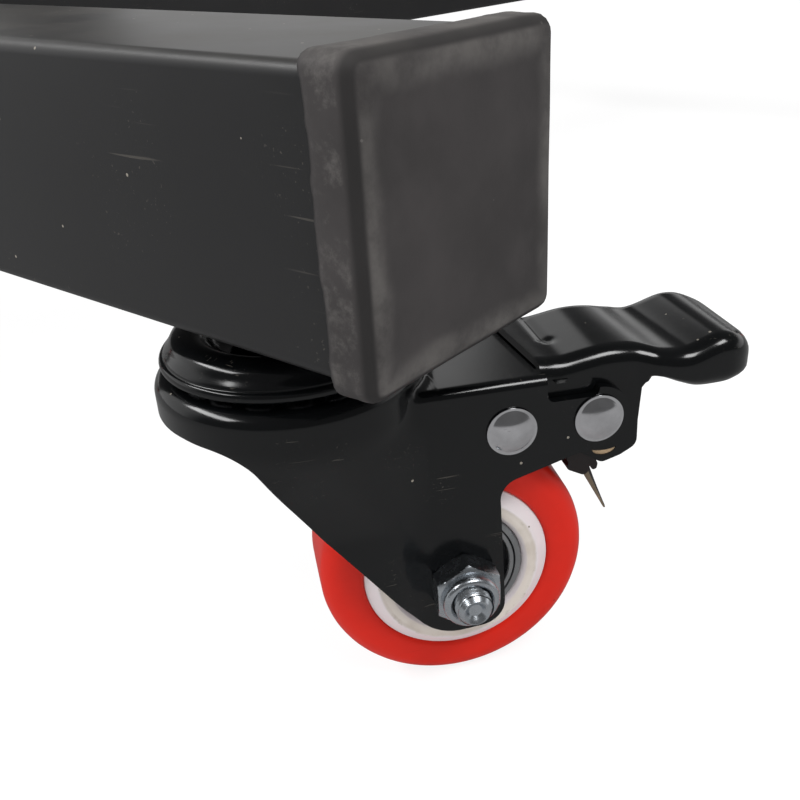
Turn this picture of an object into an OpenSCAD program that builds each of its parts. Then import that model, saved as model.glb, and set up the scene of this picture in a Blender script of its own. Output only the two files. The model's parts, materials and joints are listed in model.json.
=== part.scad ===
// Motorcycle paddock stand with a central lift, on four braked swivel castors.
// Frame: origin on the floor under the middle of the spine, +Z up, the arms along X,
// the spine along Y. Units are millimetres.
// Each castor is drawn in its own frame: origin where the swivel axis meets the underside
// of the arm, X along its trail, Y along its axle, +Z up.

/* [Frame] */
// Length of the stand over the end caps
stand_length = 910; // [700:5:1200]
// Distance between the axes of the two arms
track = 800; // [600:5:1000]
// Outer width and height of the square frame tubes
tube = 60; // [56:1:80]
// Wall of the frame tubes
tube_wall = 3; // [2:0.5:5]
// Outer corner radius of the frame tubes
tube_corner = 3; // [2:0.5:8]
// Length of each leg of the triangular gussets at the spine
gusset_leg = 60; // [30:5:110]
// Thickness of the gussets
gusset_t = 6; // [4:1:10]

/* [End caps] */
// Wall of the slip-over rubber end caps
cap_wall = 2.2; // [1.5:0.1:4]
// Length of the skirt that grips the tube
cap_skirt = 9; // [6:0.5:40]
// Rounding of the outer edges of the caps
cap_edge = 3.9; // [1:0.1:5]

/* [Castor mounting] */
// Distance from the cap's face to the swivel axis
swivel_inset = 57.2; // [52:0.1:90]
// Angle between the castor's trail and the arm at rest
trail_angle = 50.67; // [0:0.01:80]
// Height of the castor from the floor to the arm
castor_height = 118; // [112:1:150]
// Across flats of the hexagon between the arm and the castor head
stem_hex = 24; // [20:1:28]
// Diameter of the threaded stem
stem_d = 12; // [10:1:14]
// Length of the stem above the underside of the arm
stem_length = 20; // [18:1:40]
// Across flats of the stem nut
stem_nut_hex = 18; // [17:1:24]
// Height of the stem nut
stem_nut_h = 10; // [8:1:14]

/* [Castor head] */
// Outer diameter of the ball race cup
cup_d = 62.6; // [58:0.1:66]
// Drop from the arm to the crown of the cup
cup_crown_drop = 6.6; // [5:0.1:8]
// Drop from the arm to the lip of the cup
cup_lip_drop = 14.4; // [13:0.1:15]
// Diameter of the dished recess in the cup
cup_recess_d = 35; // [31:0.5:38]
// Drop from the arm to the floor of the recess
cup_floor_drop = 11.4; // [10.5:0.1:12]
// Sheet thickness of the cup
cup_sheet = 2.5; // [2:0.1:3]
// Diameter of the swivel bearing balls
ball_d = 7; // [5:0.5:7]
// Diameter of the circle of ball centres
ball_circle_d = 48; // [46:0.5:50]
// Number of balls in each swivel bearing
ball_count = 16; // [8:1:18]

/* [Fork] */
// Sheet thickness of the fork
sheet = 2.5; // [2:0.1:3]
// Outer width of the fork over its plates
fork_width = 41; // [40:0.5:46]
// Outer diameter of the fork's dome
dome_d = 67; // [64:0.5:70]
// Drop from the arm to the top of the dome
dome_drop = 16.4; // [16.2:0.1:18]
// Depth of the dome's rim below its top
dome_rim = 9; // [7:0.5:12]
// Drop from the arm to the flat platform behind the dome
platform_drop = 22.5; // [21:0.5:24]
// Distance of the axle behind the swivel axis
trail = 38.2; // [34:0.1:42]
// Radius of the rounded foot of the plates around the axle
foot_r = 13; // [10:0.5:16]
// Radius of the ear around the pedal rivet
ear_r = 8.8; // [8:0.1:10]
// Diameter of the kingpin
kingpin_d = 12; // [10:1:14]
// Diameter of the kingpin's riveted head
kingpin_head_d = 26; // [20:1:30]
// Thickness of the kingpin's riveted head
kingpin_head_t = 3; // [2:0.5:4]

/* [Wheel] */
// Diameter of the tread
wheel_d = 75; // [72:0.5:77]
// Width of the tread
tread_width = 29; // [26:0.5:31]
// Rounding of the tread's shoulders
tread_shoulder = 6; // [3:0.5:8]
// Diameter of the hub under the tread
hub_d = 52.2; // [46:0.1:56]
// Width of the hub over its rims
hub_width = 27.4; // [26:0.1:30]
// Diameter of the hub's raised bosses
boss_d = 45; // [42:0.5:45]
// Height of the bosses above the rims
boss_rise = 2.3; // [0.5:0.1:2.5]
// Outer diameter of the ball bearings
bearing_od = 37; // [32:1:38]
// Bore of the ball bearings
bearing_id = 12; // [11:0.5:13]
// Width of each ball bearing
bearing_w = 12; // [8:1:13]
// Depth of the bearings' faces under the bosses
bearing_recess = 1; // [0.4:0.1:2]
// Diameter of the axle bolt
axle_d = 10; // [8:0.5:11]
// Across flats of the axle nut and of the bolt's head
axle_hex = 17; // [13:0.5:19]
// Height of the axle nut with its nylon collar
axle_nut_h = 10; // [8:0.1:11]
// Height of the axle bolt's head
axle_head_h = 6.4; // [4:0.1:8]
// Length of bolt that stands out of the nut
axle_tail = 3.8; // [2:0.1:8]

/* [Brake] */
// Distance of the brake arm's rivet behind the swivel axis
rivet_1_x = 52; // [50:0.5:54]
// Distance between the two rivets
rivet_pitch = 23.4; // [22:0.1:26]
// Drop from the arm to the rivets
rivet_drop = 36; // [34:0.5:37]
// Diameter of the rivets' shanks
rivet_d = 6; // [5:0.5:7]
// Diameter of the rivets' domed heads
rivet_head_d = 13.4; // [11:0.1:15]
// Height of the rivets' domed heads
rivet_head_h = 2.4; // [1.5:0.1:3.5]
// Sheet thickness of the pedal
pedal_sheet = 2; // [1.5:0.1:3]
// Width of the pedal's tread beyond the fork
pedal_width = 39; // [37:0.5:44]
// Distance from the pedal rivet to the pedal's tip
pedal_reach = 46; // [38:0.2:52]
// Thickness of the brake arm's cheeks
brake_cheek = 2.5; // [2:0.5:4]
// Outer width of the brake arm
brake_width = 22; // [16:1:28]
// Length of the steel blade below the brake arm
blade_length = 18.4; // [12:0.1:24]
// Thickness of the steel blade
blade_t = 1; // [0.6:0.1:1.6]

/* [Lift] */
// Distance of the lift from the middle of the spine
lift_offset = 200; // [120:5:260]
// Height of the lift pivot above the spine
pivot_rise = 45; // [42:1:60]
// Thickness of the pivot cheeks
cheek_t = 8; // [6:1:12]
// Diameter of the pivot bolt
pivot_d = 16; // [12:1:20]
// Across flats of the pivot bolt's head and nut
pivot_hex = 24; // [22:1:30]
// Outer diameter of the pivot tube
pivot_tube_d = 38; // [34:1:42]
// Length of the pivot tube
pivot_tube_l = 56; // [52:1:70]
// Wall of the pivot bushes
bush_wall = 3; // [2:0.5:5]
// Thickness of the bushes' flanges
bush_flange = 2; // [1:0.5:3]
// Outer width of the square column
column = 50; // [44:1:50]
// Wall of the column
column_wall = 3; // [2:0.5:4]
// Height of the column's top above the pivot
column_rise = 246; // [200:2:320]
// Wall of the inner column
inner_wall = 3; // [2:0.5:4]
// Height of the pins above the top of the column
pin_rise = 41; // [36:1:60]
// Length of the inner column kept inside the column
inner_engaged = 190; // [150:5:195]
// Angle of the lever from the vertical at rest
lever_angle = 45; // [40:1:60]
// Length of the lever from the pivot to its end
lever_length = 620; // [500:10:640]
// Outer diameter of the lever tube
lever_d = 34; // [28:1:36]
// Wall of the lever tube
lever_wall = 2.5; // [2:0.5:4]
// Outer diameter of the lever's socket
socket_d = 42; // [41:1:46]
// Distance from the pivot to the mouth of the socket
socket_reach = 150; // [120:5:200]
// Length of the rubber grip
grip_length = 130; // [100:5:160]
// Wall of the rubber grip
grip_wall = 3; // [2:0.5:6]

/* [Adapter] */
// Width of the adapter plate
plate_width = 170; // [140:5:220]
// Height of the adapter plate
plate_height = 50; // [44:1:60]
// Thickness of the adapter plate
plate_t = 10; // [8:1:16]
// Distance between the two pins
pin_pitch = 120; // [80:2:130]
// Diameter of the pins
pin_d = 18; // [12:1:24]
// Free length of the pins beyond their collars
pin_length = 50; // [30:5:80]
// Diameter of the pins' collars
pin_collar_d = 28; // [26:1:34]
// Thickness of the pins' collars
pin_collar_t = 6; // [4:1:10]
// Diameter of the clamp screw
clamp_d = 12; // [10:1:14]
// Length of the clamp's cross bar
clamp_bar = 76; // [60:2:100]

/* [Hidden] */
// Radial gap between a turning piece and its shaft
run_gap = 0.05;
// Gap between moving pieces that face each other
face_gap = 0.3;
// Gap around pieces that slide or swing past each other
swing_gap = 0.4;
// Steps along a rounded corner
arc_steps = 6;
full_turn = 360;
$fn = 48;

castor_numbers = [1, 2, 3, 4];
// Sign of X and of Y at each castor
castor_signs = [[1, -1], [1, 1], [-1, 1], [-1, -1]];

arm_length = stand_length - 2 * cap_wall;
arm_z = castor_height + tube / 2;
spine_top = castor_height + tube;
swivel_x = stand_length / 2 - swivel_inset;
arm_y = track / 2;

wheel_r = wheel_d / 2;
axle_z = wheel_r - castor_height;
fork_half = fork_width / 2;
fork_inner = fork_half - sheet;
dome_r = dome_d / 2;
rivet_z = -rivet_drop;
rivet_2_x = rivet_1_x + rivet_pitch;
rivet_r = rivet_d / 2;
platform_z = -platform_drop;
rim_z = -dome_drop - dome_rim;
platform_end = rivet_2_x - 13.9;
notch_z = rivet_z + 6.4;
pedal_half = fork_inner - face_gap;
// Distance of the brake arm's front end from its rivet
brake_front = 30;

pivot_z = spine_top + pivot_rise;
pivot_r = pivot_d / 2;
lift_y = -lift_offset;
column_top = pivot_z + column_rise;
inner_column = column - 2 * column_wall - 2 * swing_gap;
pin_z = column_top + pin_rise;
cheek_y = pivot_tube_l / 2 + bush_flange + swing_gap;
collar_h = 10;
boss_h = 12;
boss_r = 12;
clamp_drop = 40;
clamp_z = column_top - clamp_drop;
clamp_gap = 4;
stop_width = 17;
// Distance of the lever's pin from the socket's mouth, and its radius
lever_pin_drop = 30;
lever_pin_r = 5;
// Radius of each adapter pin's spigot in the plate, and its tapered tip
spigot_r = pin_d / 2 - 2;
tip_taper = 2.5;
tip_length = 3;

// ---- outlines ----

function unit(v) = v / norm(v);

// Points of the arc that rounds corner q, between its neighbours p and s
function corner(p, q, s, r) =
    r == 0 ? [[q[0], q[1]]] :
    let (at = [q[0], q[1]],
         a = unit([p[0], p[1]] - at),
         b = unit([s[0], s[1]] - at),
         half = acos(a * b) / 2,
         centre = at + unit(a + b) * r / sin(half),
         from = at + a * r / tan(half) - centre,
         to = at + b * r / tan(half) - centre,
         start = atan2(from[1], from[0]),
         sweep = (atan2(to[1], to[0]) - start + 1.5 * full_turn) % full_turn - full_turn / 2)
    [for (i = [0:arc_steps])
        centre + r * [cos(start + sweep * i / arc_steps), sin(start + sweep * i / arc_steps)]];

// Polygon points with each corner [x, y, radius] rounded
function rounded(points) =
    let (n = len(points))
    [for (i = [0:n - 1])
        each corner(points[(i + n - 1) % n], points[i], points[(i + 1) % n], points[i][2])];

function square_outline(width, radius) =
    let (h = width / 2)
    rounded([[-h, -h, radius], [h, -h, radius], [h, h, radius], [-h, h, radius]]);

// Smooth curve through points, with the given steps between neighbours
function through(points, steps) =
    let (n = len(points))
    [for (i = [0:n - 2])
        let (p0 = points[max(i - 1, 0)], p1 = points[i], p2 = points[i + 1],
             p3 = points[min(i + 2, n - 1)])
        for (j = [0:(i == n - 2 ? steps : steps - 1)])
            let (t = j / steps)
            (2 * p1 + (p2 - p0) * t + (2 * p0 - 5 * p1 + 4 * p2 - p3) * t * t
             + (3 * p1 - p0 - 3 * p2 + p3) * t * t * t) / 2];

// ---- shared shapes ----

module rod(r, length) {
    rotate([90, 0, 0])
        cylinder(r = r, h = length, center = true);
}

module hex_prism(across_flats, height) {
    cylinder(d = across_flats / cos(30), h = height, $fn = 6);
}

// Extrudes an X-Z outline along Y, centred, over a given width
module across(width) {
    rotate([90, 0, 0])
        translate([0, 0, -width / 2])
            linear_extrude(width)
                children();
}

module square_tube(width, wall, radius, length) {
    linear_extrude(length)
        difference() {
            polygon(square_outline(width, radius));
            polygon(square_outline(width - 2 * wall, max(radius - wall, 0.5)));
        }
}

module at_castor(k) {
    s = castor_signs[k - 1];
    turn = atan2(-s[1] * sin(trail_angle), s[0] * cos(trail_angle));
    translate([s[0] * swivel_x, s[1] * arm_y, castor_height])
        rotate([0, 0, turn])
            children();
}

module at_every_castor() {
    for (k = castor_numbers)
        at_castor(k)
            children();
}

module at_pivot() {
    translate([0, lift_y, pivot_z])
        children();
}

module along_lever() {
    at_pivot()
        rotate([0, -lever_angle, 0])
            children();
}

// ---- frame ----

module arm(side) {
    color("#202123")
        difference() {
            translate([-arm_length / 2, side * arm_y, arm_z])
                rotate([90, 0, 90])
                    square_tube(tube, tube_wall, tube_corner, arm_length);
            for (s = [-1, 1])
                translate([s * swivel_x, side * arm_y, castor_height - 1])
                    cylinder(d = stem_d + 2 * face_gap, h = tube_wall + 2);
        }
}

module near_arm() {
    arm(-1);
}

module far_arm() {
    arm(1);
}

module spine() {
    color("#202123")
        translate([0, arm_y - tube / 2, arm_z])
            rotate([90, 0, 0])
                square_tube(tube, tube_wall, tube_corner, track - tube);
}

module gussets() {
    inner = arm_y - tube / 2;
    color("#202123")
        for (sx = [-1, 1], sy = [-1, 1])
            translate([sx * tube / 2, sy * inner, arm_z - gusset_t / 2])
                scale([sx, -sy, 1])
                    linear_extrude(gusset_t)
                        polygon([[0, 0], [gusset_leg, 0], [0, gusset_leg]]);
}

module end_cap() {
    outer = tube + 2 * cap_wall;
    depth = cap_skirt + cap_wall;
    difference() {
        hull() {
            linear_extrude(depth - cap_edge)
                polygon(square_outline(outer, cap_edge));
            for (a = [30, 60, 90])
                translate([0, 0, depth - cap_edge + cap_edge * sin(a) - 0.01])
                    linear_extrude(0.01)
                        polygon(square_outline(outer - 2 * cap_edge * (1 - cos(a)),
                                               max(cap_edge * cos(a), 0.4)));
        }
        translate([0, 0, -1])
            linear_extrude(cap_skirt + 1)
                polygon(square_outline(tube, tube_corner));
    }
}

module end_caps() {
    color("#4a4744")
        for (sx = [-1, 1], sy = [-1, 1])
            translate([sx * (arm_length / 2 - cap_skirt), sy * arm_y, arm_z])
                rotate([90, 0, sx * 90])
                    end_cap();
}

// ---- castor head ----

module castor_stems() {
    color("#2a2b2d")
        at_every_castor() {
            translate([0, 0, -cup_floor_drop])
                hex_prism(stem_hex, cup_floor_drop);
            cylinder(d = stem_d, h = stem_length);
            translate([0, 0, kingpin_bottom()])
                cylinder(d = kingpin_d, h = -cup_floor_drop - kingpin_bottom());
            translate([0, 0, kingpin_bottom()])
                cylinder(d = kingpin_head_d, h = kingpin_head_t);
        }
}

function kingpin_bottom() = -(dome_drop + sheet + face_gap + kingpin_head_t);

module stem_nuts() {
    color("silver")
        at_every_castor()
            translate([0, 0, tube_wall])
                difference() {
                    union() {
                        cylinder(d = stem_nut_hex / cos(30) + 3, h = 2);
                        translate([0, 0, 2])
                            hex_prism(stem_nut_hex, min(stem_nut_h, stem_length - tube_wall - 3));
                    }
                    translate([0, 0, -1])
                        cylinder(d = stem_d, h = stem_length + 2);
                }
}

module head_cup() {
    r_lip = cup_d / 2;
    r_recess = cup_recess_d / 2;
    r_crown = (r_recess + r_lip) / 2 - 0.5;
    crown = -cup_crown_drop;
    floor_z = -cup_floor_drop;
    // Upper face from the hub hole to the lip
    upper = concat(
        [[kingpin_d / 2, floor_z]],
        through([[r_recess - 1.5, floor_z], [r_recess + 1, -cup_floor_drop * 0.8],
                 [r_crown - 1.5, crown], [r_crown + 2, crown - 0.3],
                 [r_lip - 3, crown - 3.2], [r_lip - 0.6, crown - 5.6], [r_lip, -cup_lip_drop]], 4));
    // Lower face back to the hub hole
    lower = concat(
        [[r_lip - cup_sheet, -cup_lip_drop]],
        through([[r_lip - cup_sheet - 0.6, crown - 6], [r_crown + 2, crown - cup_sheet],
                 [r_crown - 1.5, crown - cup_sheet], [r_recess - 0.8, floor_z - cup_sheet]], 4),
        [[kingpin_d / 2, floor_z - cup_sheet]]);
    rotate_extrude()
        polygon(concat(upper, lower));
}

module head_cups() {
    color("#161719")
        at_every_castor()
            head_cup();
}

module swivel_balls() {
    color("silver")
        at_every_castor()
            for (i = [1:ball_count])
                rotate([0, 0, 360 * i / ball_count])
                    translate([ball_circle_d / 2, 0, -dome_drop + ball_d / 2 + run_gap])
                        sphere(d = ball_d);
}

// ---- fork ----

// Side outline of the fork plates
function plate_outline() = rounded([
    [-dome_r - 1, platform_z + 3, 0],
    [-dome_r - 1, rim_z + 1, 0],
    [-15.2, rim_z - 1.2, 14],
    [2.5, axle_z + 22.3, 30],
    [trail - foot_r * 0.6, axle_z - foot_r * 1.3, foot_r],
    [trail + foot_r * 0.92, axle_z - foot_r * 1.22, foot_r * 0.55],
    [trail + foot_r * 0.82, rivet_z - 15.8, 6],
    [rivet_2_x - 6, rivet_z - ear_r * 1.12, 0],
    [rivet_2_x, rivet_z - ear_r, 0],
    [rivet_2_x, notch_z, 0],
    [platform_end, notch_z, 1.5],
    [platform_end, platform_z, 0],
    [0, platform_z, 0]]);

// Solid that flares from the dome's rim down to the plates, inset by t
module flare(t) {
    hull() {
        translate([0, 0, rim_z])
            cylinder(r = dome_r - t, h = 1);
        translate([-12, -fork_half + t, -castor_height / 2])
            cube([30, fork_width - 2 * t, 1]);
    }
}

// Dome with a rounded shoulder, inset by t
module dome(t) {
    r = dome_r - t;
    top = -dome_drop - t;
    shoulder = 4;
    rotate_extrude()
        polygon(concat([[0, rim_z], [r, rim_z]],
                       [for (a = [0:15:90])
                           [r - shoulder + shoulder * cos(a), top - shoulder + shoulder * sin(a)]],
                       [[0, top]]));
}

// Solid between the plates' outer faces, inset by t, with the platform's bends rounded
module slab(t) {
    h = fork_half - t;
    top = platform_z - t;
    bend = max(sheet - t, 0.3);
    translate([-fork_half, 0, 0])
        rotate([90, 0, 90])
            linear_extrude(fork_half + rivet_2_x + 2 * ear_r)
                polygon(rounded([[-h, -castor_height, 0], [h, -castor_height, 0],
                                 [h, top, bend], [-h, top, bend]]));
}

module fork() {
    difference() {
        union() {
            dome(0);
            intersection() {
                union() {
                    flare(0);
                    slab(0);
                }
                across(2 * dome_d)
                    union() {
                        polygon(plate_outline());
                        translate([rivet_2_x, rivet_z])
                            circle(r = ear_r);
                    }
            }
        }
        dome(sheet);
        flare(sheet);
        slab(sheet);
        translate([0, 0, -castor_height])
            cylinder(r = kingpin_d / 2 + run_gap, h = castor_height);
        translate([trail, 0, axle_z])
            rod(axle_d / 2, 2 * fork_width);
        for (x = [rivet_1_x, rivet_2_x])
            translate([x, 0, rivet_z])
                rod(rivet_r, 2 * fork_width);
    }
}

// Domed rivet head that stands on the X-Y plane
module rivet_head() {
    r = rivet_head_d / 2;
    ball = (r * r + rivet_head_h * rivet_head_h) / (2 * rivet_head_h);
    rotate_extrude()
        intersection() {
            translate([0, rivet_head_h - ball])
                circle(r = ball, $fn = 160);
            square([r, rivet_head_h]);
        }
}

module rivet() {
    rod(rivet_r, fork_width);
    for (s = [-1, 1])
        translate([0, s * fork_half, 0])
            rotate([-s * 90, 0, 0])
                rivet_head();
}

module rivets() {
    for (x = [rivet_1_x, rivet_2_x])
        translate([x, 0, rivet_z])
            rivet();
}

// ---- wheel ----

module axle_bolt() {
    tail = fork_half + axle_nut_h + axle_tail;
    translate([trail, 0, axle_z])
        rotate([90, 0, 0]) {
            translate([0, 0, -fork_half])
                cylinder(d = axle_d, h = fork_half + tail);
            translate([0, 0, -fork_half - axle_head_h])
                hex_prism(axle_hex, axle_head_h);
            translate([0, 0, fork_half])
                difference() {
                    union() {
                        rotate([0, 0, 30])
                            hex_prism(axle_hex, axle_nut_h * 0.7);
                        cylinder(d = axle_hex - 1.6, h = axle_nut_h);
                    }
                    translate([0, 0, -1])
                        cylinder(r = axle_d / 2 + run_gap, h = axle_nut_h + 2);
                }
        }
}

module axle_sleeve() {
    translate([trail, 0, axle_z])
        difference() {
            rod(bearing_id / 2 - run_gap, 2 * fork_inner);
            rod(axle_d / 2 + run_gap, fork_width);
        }
}

// Turns an outline in radius and width around the axle
module about_axle() {
    translate([trail, 0, axle_z])
        rotate([90, 0, 0])
            rotate_extrude($fn = 96)
                children();
}

module tread() {
    w = tread_width / 2;
    about_axle()
        polygon(rounded([[hub_d / 2, -hub_width / 2, 0], [hub_d / 2, hub_width / 2, 0],
                         [hub_d / 2 + 2, w, 2], [wheel_r, w, tread_shoulder],
                         [wheel_r, -w, tread_shoulder], [hub_d / 2 + 2, -w, 2]]));
}

module hub() {
    r = hub_d / 2;
    w = hub_width / 2;
    top = w + boss_rise;
    bore = bearing_od / 2;
    seat = bearing_end();
    chamfer = 0.6;
    lip = 2;
    // One side's face, from the bearing seat out to the rim
    face = [[bore, seat], [bore, top - chamfer], [bore + chamfer, top], [boss_d / 2, top],
            [r - chamfer, w], [r, w]];
    about_axle()
        polygon(concat(face,
                       [for (i = [len(face) - 1:-1:0]) [face[i][0], -face[i][1]]],
                       [[bore - lip, -seat], [bore - lip, seat]]));
}

// Distance from the wheel's middle to the inner end of each bearing
function bearing_end() = hub_width / 2 + boss_rise - bearing_recess - bearing_w;

module bearings() {
    outer = bearing_od / 2;
    inner = bearing_id / 2;
    outer_race = 0.27 * (outer - inner);
    inner_race = 0.53 * (outer - inner);
    shield_depth = 1.5;
    for (s = [-1, 1])
        about_axle()
            scale([1, s])
                translate([0, bearing_end()]) {
                    translate([inner, 0])
                        square([inner_race, bearing_w]);
                    translate([outer - outer_race, 0])
                        square([outer_race, bearing_w]);
                    translate([inner + inner_race, shield_depth])
                        square([outer - inner - outer_race - inner_race,
                                bearing_w - 2 * shield_depth]);
                }
}

// ---- brake ----

// Top edge of the pedal, from its front edge to its tip
function pedal_top() =
    let (x = rivet_2_x, tip = rivet_2_x + pedal_reach)
    through([[x - 16, -20], [x - 8.5, -20.4], [x + 2, -18.9], [x + 10.6, -19.9],
             [tip - 23, -22.7], [tip - 11.5, -19.6], [tip - 3.5, -21.8], [tip, -27]], 5);

// Side outline of the pedal: its top, its turned-down lip and the flange at the rivet
function pedal_side() =
    let (x = rivet_2_x, tip = rivet_2_x + pedal_reach, flange_low = rivet_z - 15.8)
    rounded(concat([for (p = pedal_top()) [p[0], p[1], 0]],
                   [[tip, -30.5, 0], [tip - 2, -32.2, 0], [tip - 14.5, -32.6, 0],
                    [tip - 20, -31, 0], [x + 15.6, -27.9, 0], [x + 12.1, -27.6, 1.5],
                    [x + 12.5, flange_low + 4, 2], [x + 2.6, flange_low, 3],
                    [x - 8, rivet_z - 8, 4], [platform_end + swing_gap, platform_z - 1, 0],
                    [platform_end + swing_gap, platform_z + face_gap, 0],
                    [x - 16, platform_z + face_gap, 0]]));

// Plan outline of the pedal, inset by t: narrow between the fork plates, wider behind them
function pedal_plan(t) =
    let (x = rivet_2_x, tip = rivet_2_x + pedal_reach - t, a = pedal_half - t,
         b = pedal_width / 2 - t, front = x - rivet_pitch - 16.6, neck = x + 12, wide = x + 15,
         r = 10 - t)
    rounded([[front, -a, 0], [neck, -a, 2], [wide, -b, 2], [tip, -b, r],
             [tip, b, r], [wide, b, 2], [neck, a, 2], [front, a, 0]]);

module pedal() {
    x = rivet_2_x;
    tip = x + pedal_reach;
    low = -castor_height / 2;
    difference() {
        intersection() {
            across(pedal_width)
                polygon(pedal_side());
            translate([0, 0, low])
                linear_extrude(-low)
                    polygon(pedal_plan(0));
        }
        // Hollow under the sheet
        intersection() {
            across(pedal_width)
                polygon(concat([[x - 18, platform_z + face_gap]],
                               [for (p = pedal_top()) p - [0, pedal_sheet]],
                               [[tip + 5, low], [x - 18, low]]));
            translate([0, 0, low - 1])
                linear_extrude(-low)
                    polygon(pedal_plan(pedal_sheet));
        }
        translate([x, 0, rivet_z])
            rod(rivet_r + run_gap, 2 * fork_width);
        // Crescent slot under the rivet
        translate([x + 3, 0, rivet_z - ear_r - 1.9])
            difference() {
                rod(3.6, 2 * fork_width);
                translate([0, 0, 3])
                    rod(4.4, 4 * fork_width);
            }
    }
}

module brake_arm() {
    x1 = rivet_1_x;
    x2 = rivet_2_x;
    shoe = [x2 + 0.2, rivet_z - 23.5];
    front = x1 - brake_front;
    channel = x1 - 20;
    difference() {
        across(brake_width)
            polygon(rounded([[front, rivet_z + 7.5, 1], [front, rivet_z + 4.5, 1],
                             [x1 - 4, rivet_z - 5.2, 4], [x2 - 7, rivet_z - 9, 5],
                             [shoe[0] - 4.6, shoe[1] + 3, 1.5], [shoe[0] + 0.6, shoe[1], 1],
                             [shoe[0] + 2, shoe[1] + 1.7, 1], [shoe[0] + 1.6, rivet_z - 12, 2],
                             [x2 - 4, rivet_z - 5, 3], [x1 + 5, rivet_z + 5, 4],
                             [x1 - 4, rivet_z + 7.5, 3]]));
        // Channel between the two cheeks, open below the rivet
        translate([channel, -brake_width / 2 + brake_cheek, rivet_z - 14])
            cube([x2 - x1 + 10, brake_width - 2 * brake_cheek, castor_height]);
        translate([x1, 0, rivet_z])
            rod(rivet_r + run_gap, fork_width);
        brake_blade(run_gap);
    }
}

// Tapered steel blade that hangs under the shoe, leaning back, grown by t all round
module brake_blade(t) {
    x = rivet_2_x - 0.4;
    top = rivet_z - 21;
    translate([0, -4.5, 0])
        across(blade_t + 2 * t)
            polygon([[x - t, top + t], [x + 4.1 + t, top + t],
                     [x + 10.7 + t, top - blade_length - t], [x + 9.9 - t, top - blade_length - t]]);
}

// ---- lift ----

module lift_cheeks() {
    color("#202123")
        at_pivot()
            for (s = [-1, 1])
                translate([0, s * (cheek_y + cheek_t / 2), 0])
                    difference() {
                        across(cheek_t)
                            union() {
                                circle(r = pivot_r + 14);
                                polygon([[-tube / 2 + tube_corner, -pivot_rise],
                                         [tube / 2 - tube_corner, -pivot_rise],
                                         [pivot_r + 12, 6], [-pivot_r - 12, 6]]);
                            }
                        rod(pivot_r, 2 * cheek_t);
                    }
}

module lift_stop() {
    // The sloped face lies along the socket's lower side
    low = -tube / 2 + tube_corner;
    high = low + stop_width;
    slope = 1 / tan(lever_angle);
    side = (socket_d / 2 + face_gap) / sin(lever_angle);
    color("#303133")
        at_pivot()
            across(2 * cheek_y)
                polygon([[low, -pivot_rise], [high, -pivot_rise],
                         [high, -side - high * slope], [low, -side - low * slope]]);
}

module pivot_bolt() {
    reach = cheek_y + cheek_t;
    color("silver")
        at_pivot()
            rotate([-90, 0, 0]) {
                translate([0, 0, -reach])
                    cylinder(d = pivot_d, h = 2 * reach + pivot_d * 1.1);
                translate([0, 0, -reach - pivot_d * 0.62])
                    hex_prism(pivot_hex, pivot_d * 0.62);
            }
}

module pivot_nut() {
    color("silver")
        at_pivot()
            translate([0, cheek_y + cheek_t, 0])
                rotate([-90, 0, 0])
                    difference() {
                        hex_prism(pivot_hex, pivot_d * 0.8);
                        translate([0, 0, -1])
                            cylinder(d = pivot_d, h = pivot_d + 2);
                    }
}

module pivot_tube() {
    color("#202123")
        at_pivot()
            difference() {
                rod(pivot_tube_d / 2, pivot_tube_l);
                rod(pivot_r + run_gap + bush_wall, pivot_tube_l + 2);
            }
}

module pivot_bushes() {
    outer = pivot_r + run_gap + bush_wall;
    color("#b08d57")
        at_pivot()
            for (s = [-1, 1])
                scale([1, s, 1])
                    difference() {
                        union() {
                            translate([0, pivot_tube_l / 4 + 1, 0])
                                rod(outer, pivot_tube_l / 2 - 2);
                            translate([0, pivot_tube_l / 2 + bush_flange / 2, 0])
                                rod(outer + 3, bush_flange);
                        }
                        rod(pivot_r + run_gap, 4 * pivot_tube_l);
                    }
}

module column_tube() {
    color("#202123")
        at_pivot()
            difference() {
                union() {
                    square_tube(column, column_wall, 4, column_rise);
                    translate([column / 2, 0, clamp_z - pivot_z])
                        rotate([0, 90, 0])
                            cylinder(r = boss_r, h = boss_h);
                }
                rod(pivot_tube_d / 2, 2 * column);
                translate([0, 0, clamp_z - pivot_z])
                    rotate([0, 90, 0])
                        cylinder(r = clamp_d / 2 + run_gap, h = column);
            }
}

module lever_socket() {
    color("#202123")
        difference() {
            along_lever()
                difference() {
                    cylinder(d = socket_d, h = socket_reach);
                    translate([0, 0, -1])
                        cylinder(d = lever_d + swing_gap, h = socket_reach + 2);
                    translate([0, 0, socket_reach - lever_pin_drop])
                        rod(lever_pin_r, 2 * socket_d);
                }
            at_pivot() {
                rod(pivot_tube_d / 2, 2 * column);
                translate([-column / 2, -column, 0])
                    cube([2 * column, 2 * column, column_rise]);
            }
        }
}

module lever_tube() {
    start = (column / 2) / sin(lever_angle) + lever_d / 2 / tan(lever_angle) + 2;
    color("#202123")
        along_lever()
            translate([0, 0, start])
                difference() {
                    cylinder(d = lever_d, h = lever_length - start);
                    translate([0, 0, -1])
                        cylinder(d = lever_d - 2 * lever_wall, h = lever_length);
                    translate([0, 0, socket_reach - lever_pin_drop - start])
                        rod(lever_pin_r, 2 * socket_d);
                }
}

module lever_pin() {
    color("silver")
        along_lever()
            translate([0, 0, socket_reach - lever_pin_drop]) {
                rod(lever_pin_r, socket_d + 10);
                for (s = [-1, 1])
                    translate([0, s * (socket_d / 2 + 4), 0])
                        rod(lever_pin_r + 2, 3);
            }
}

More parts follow.
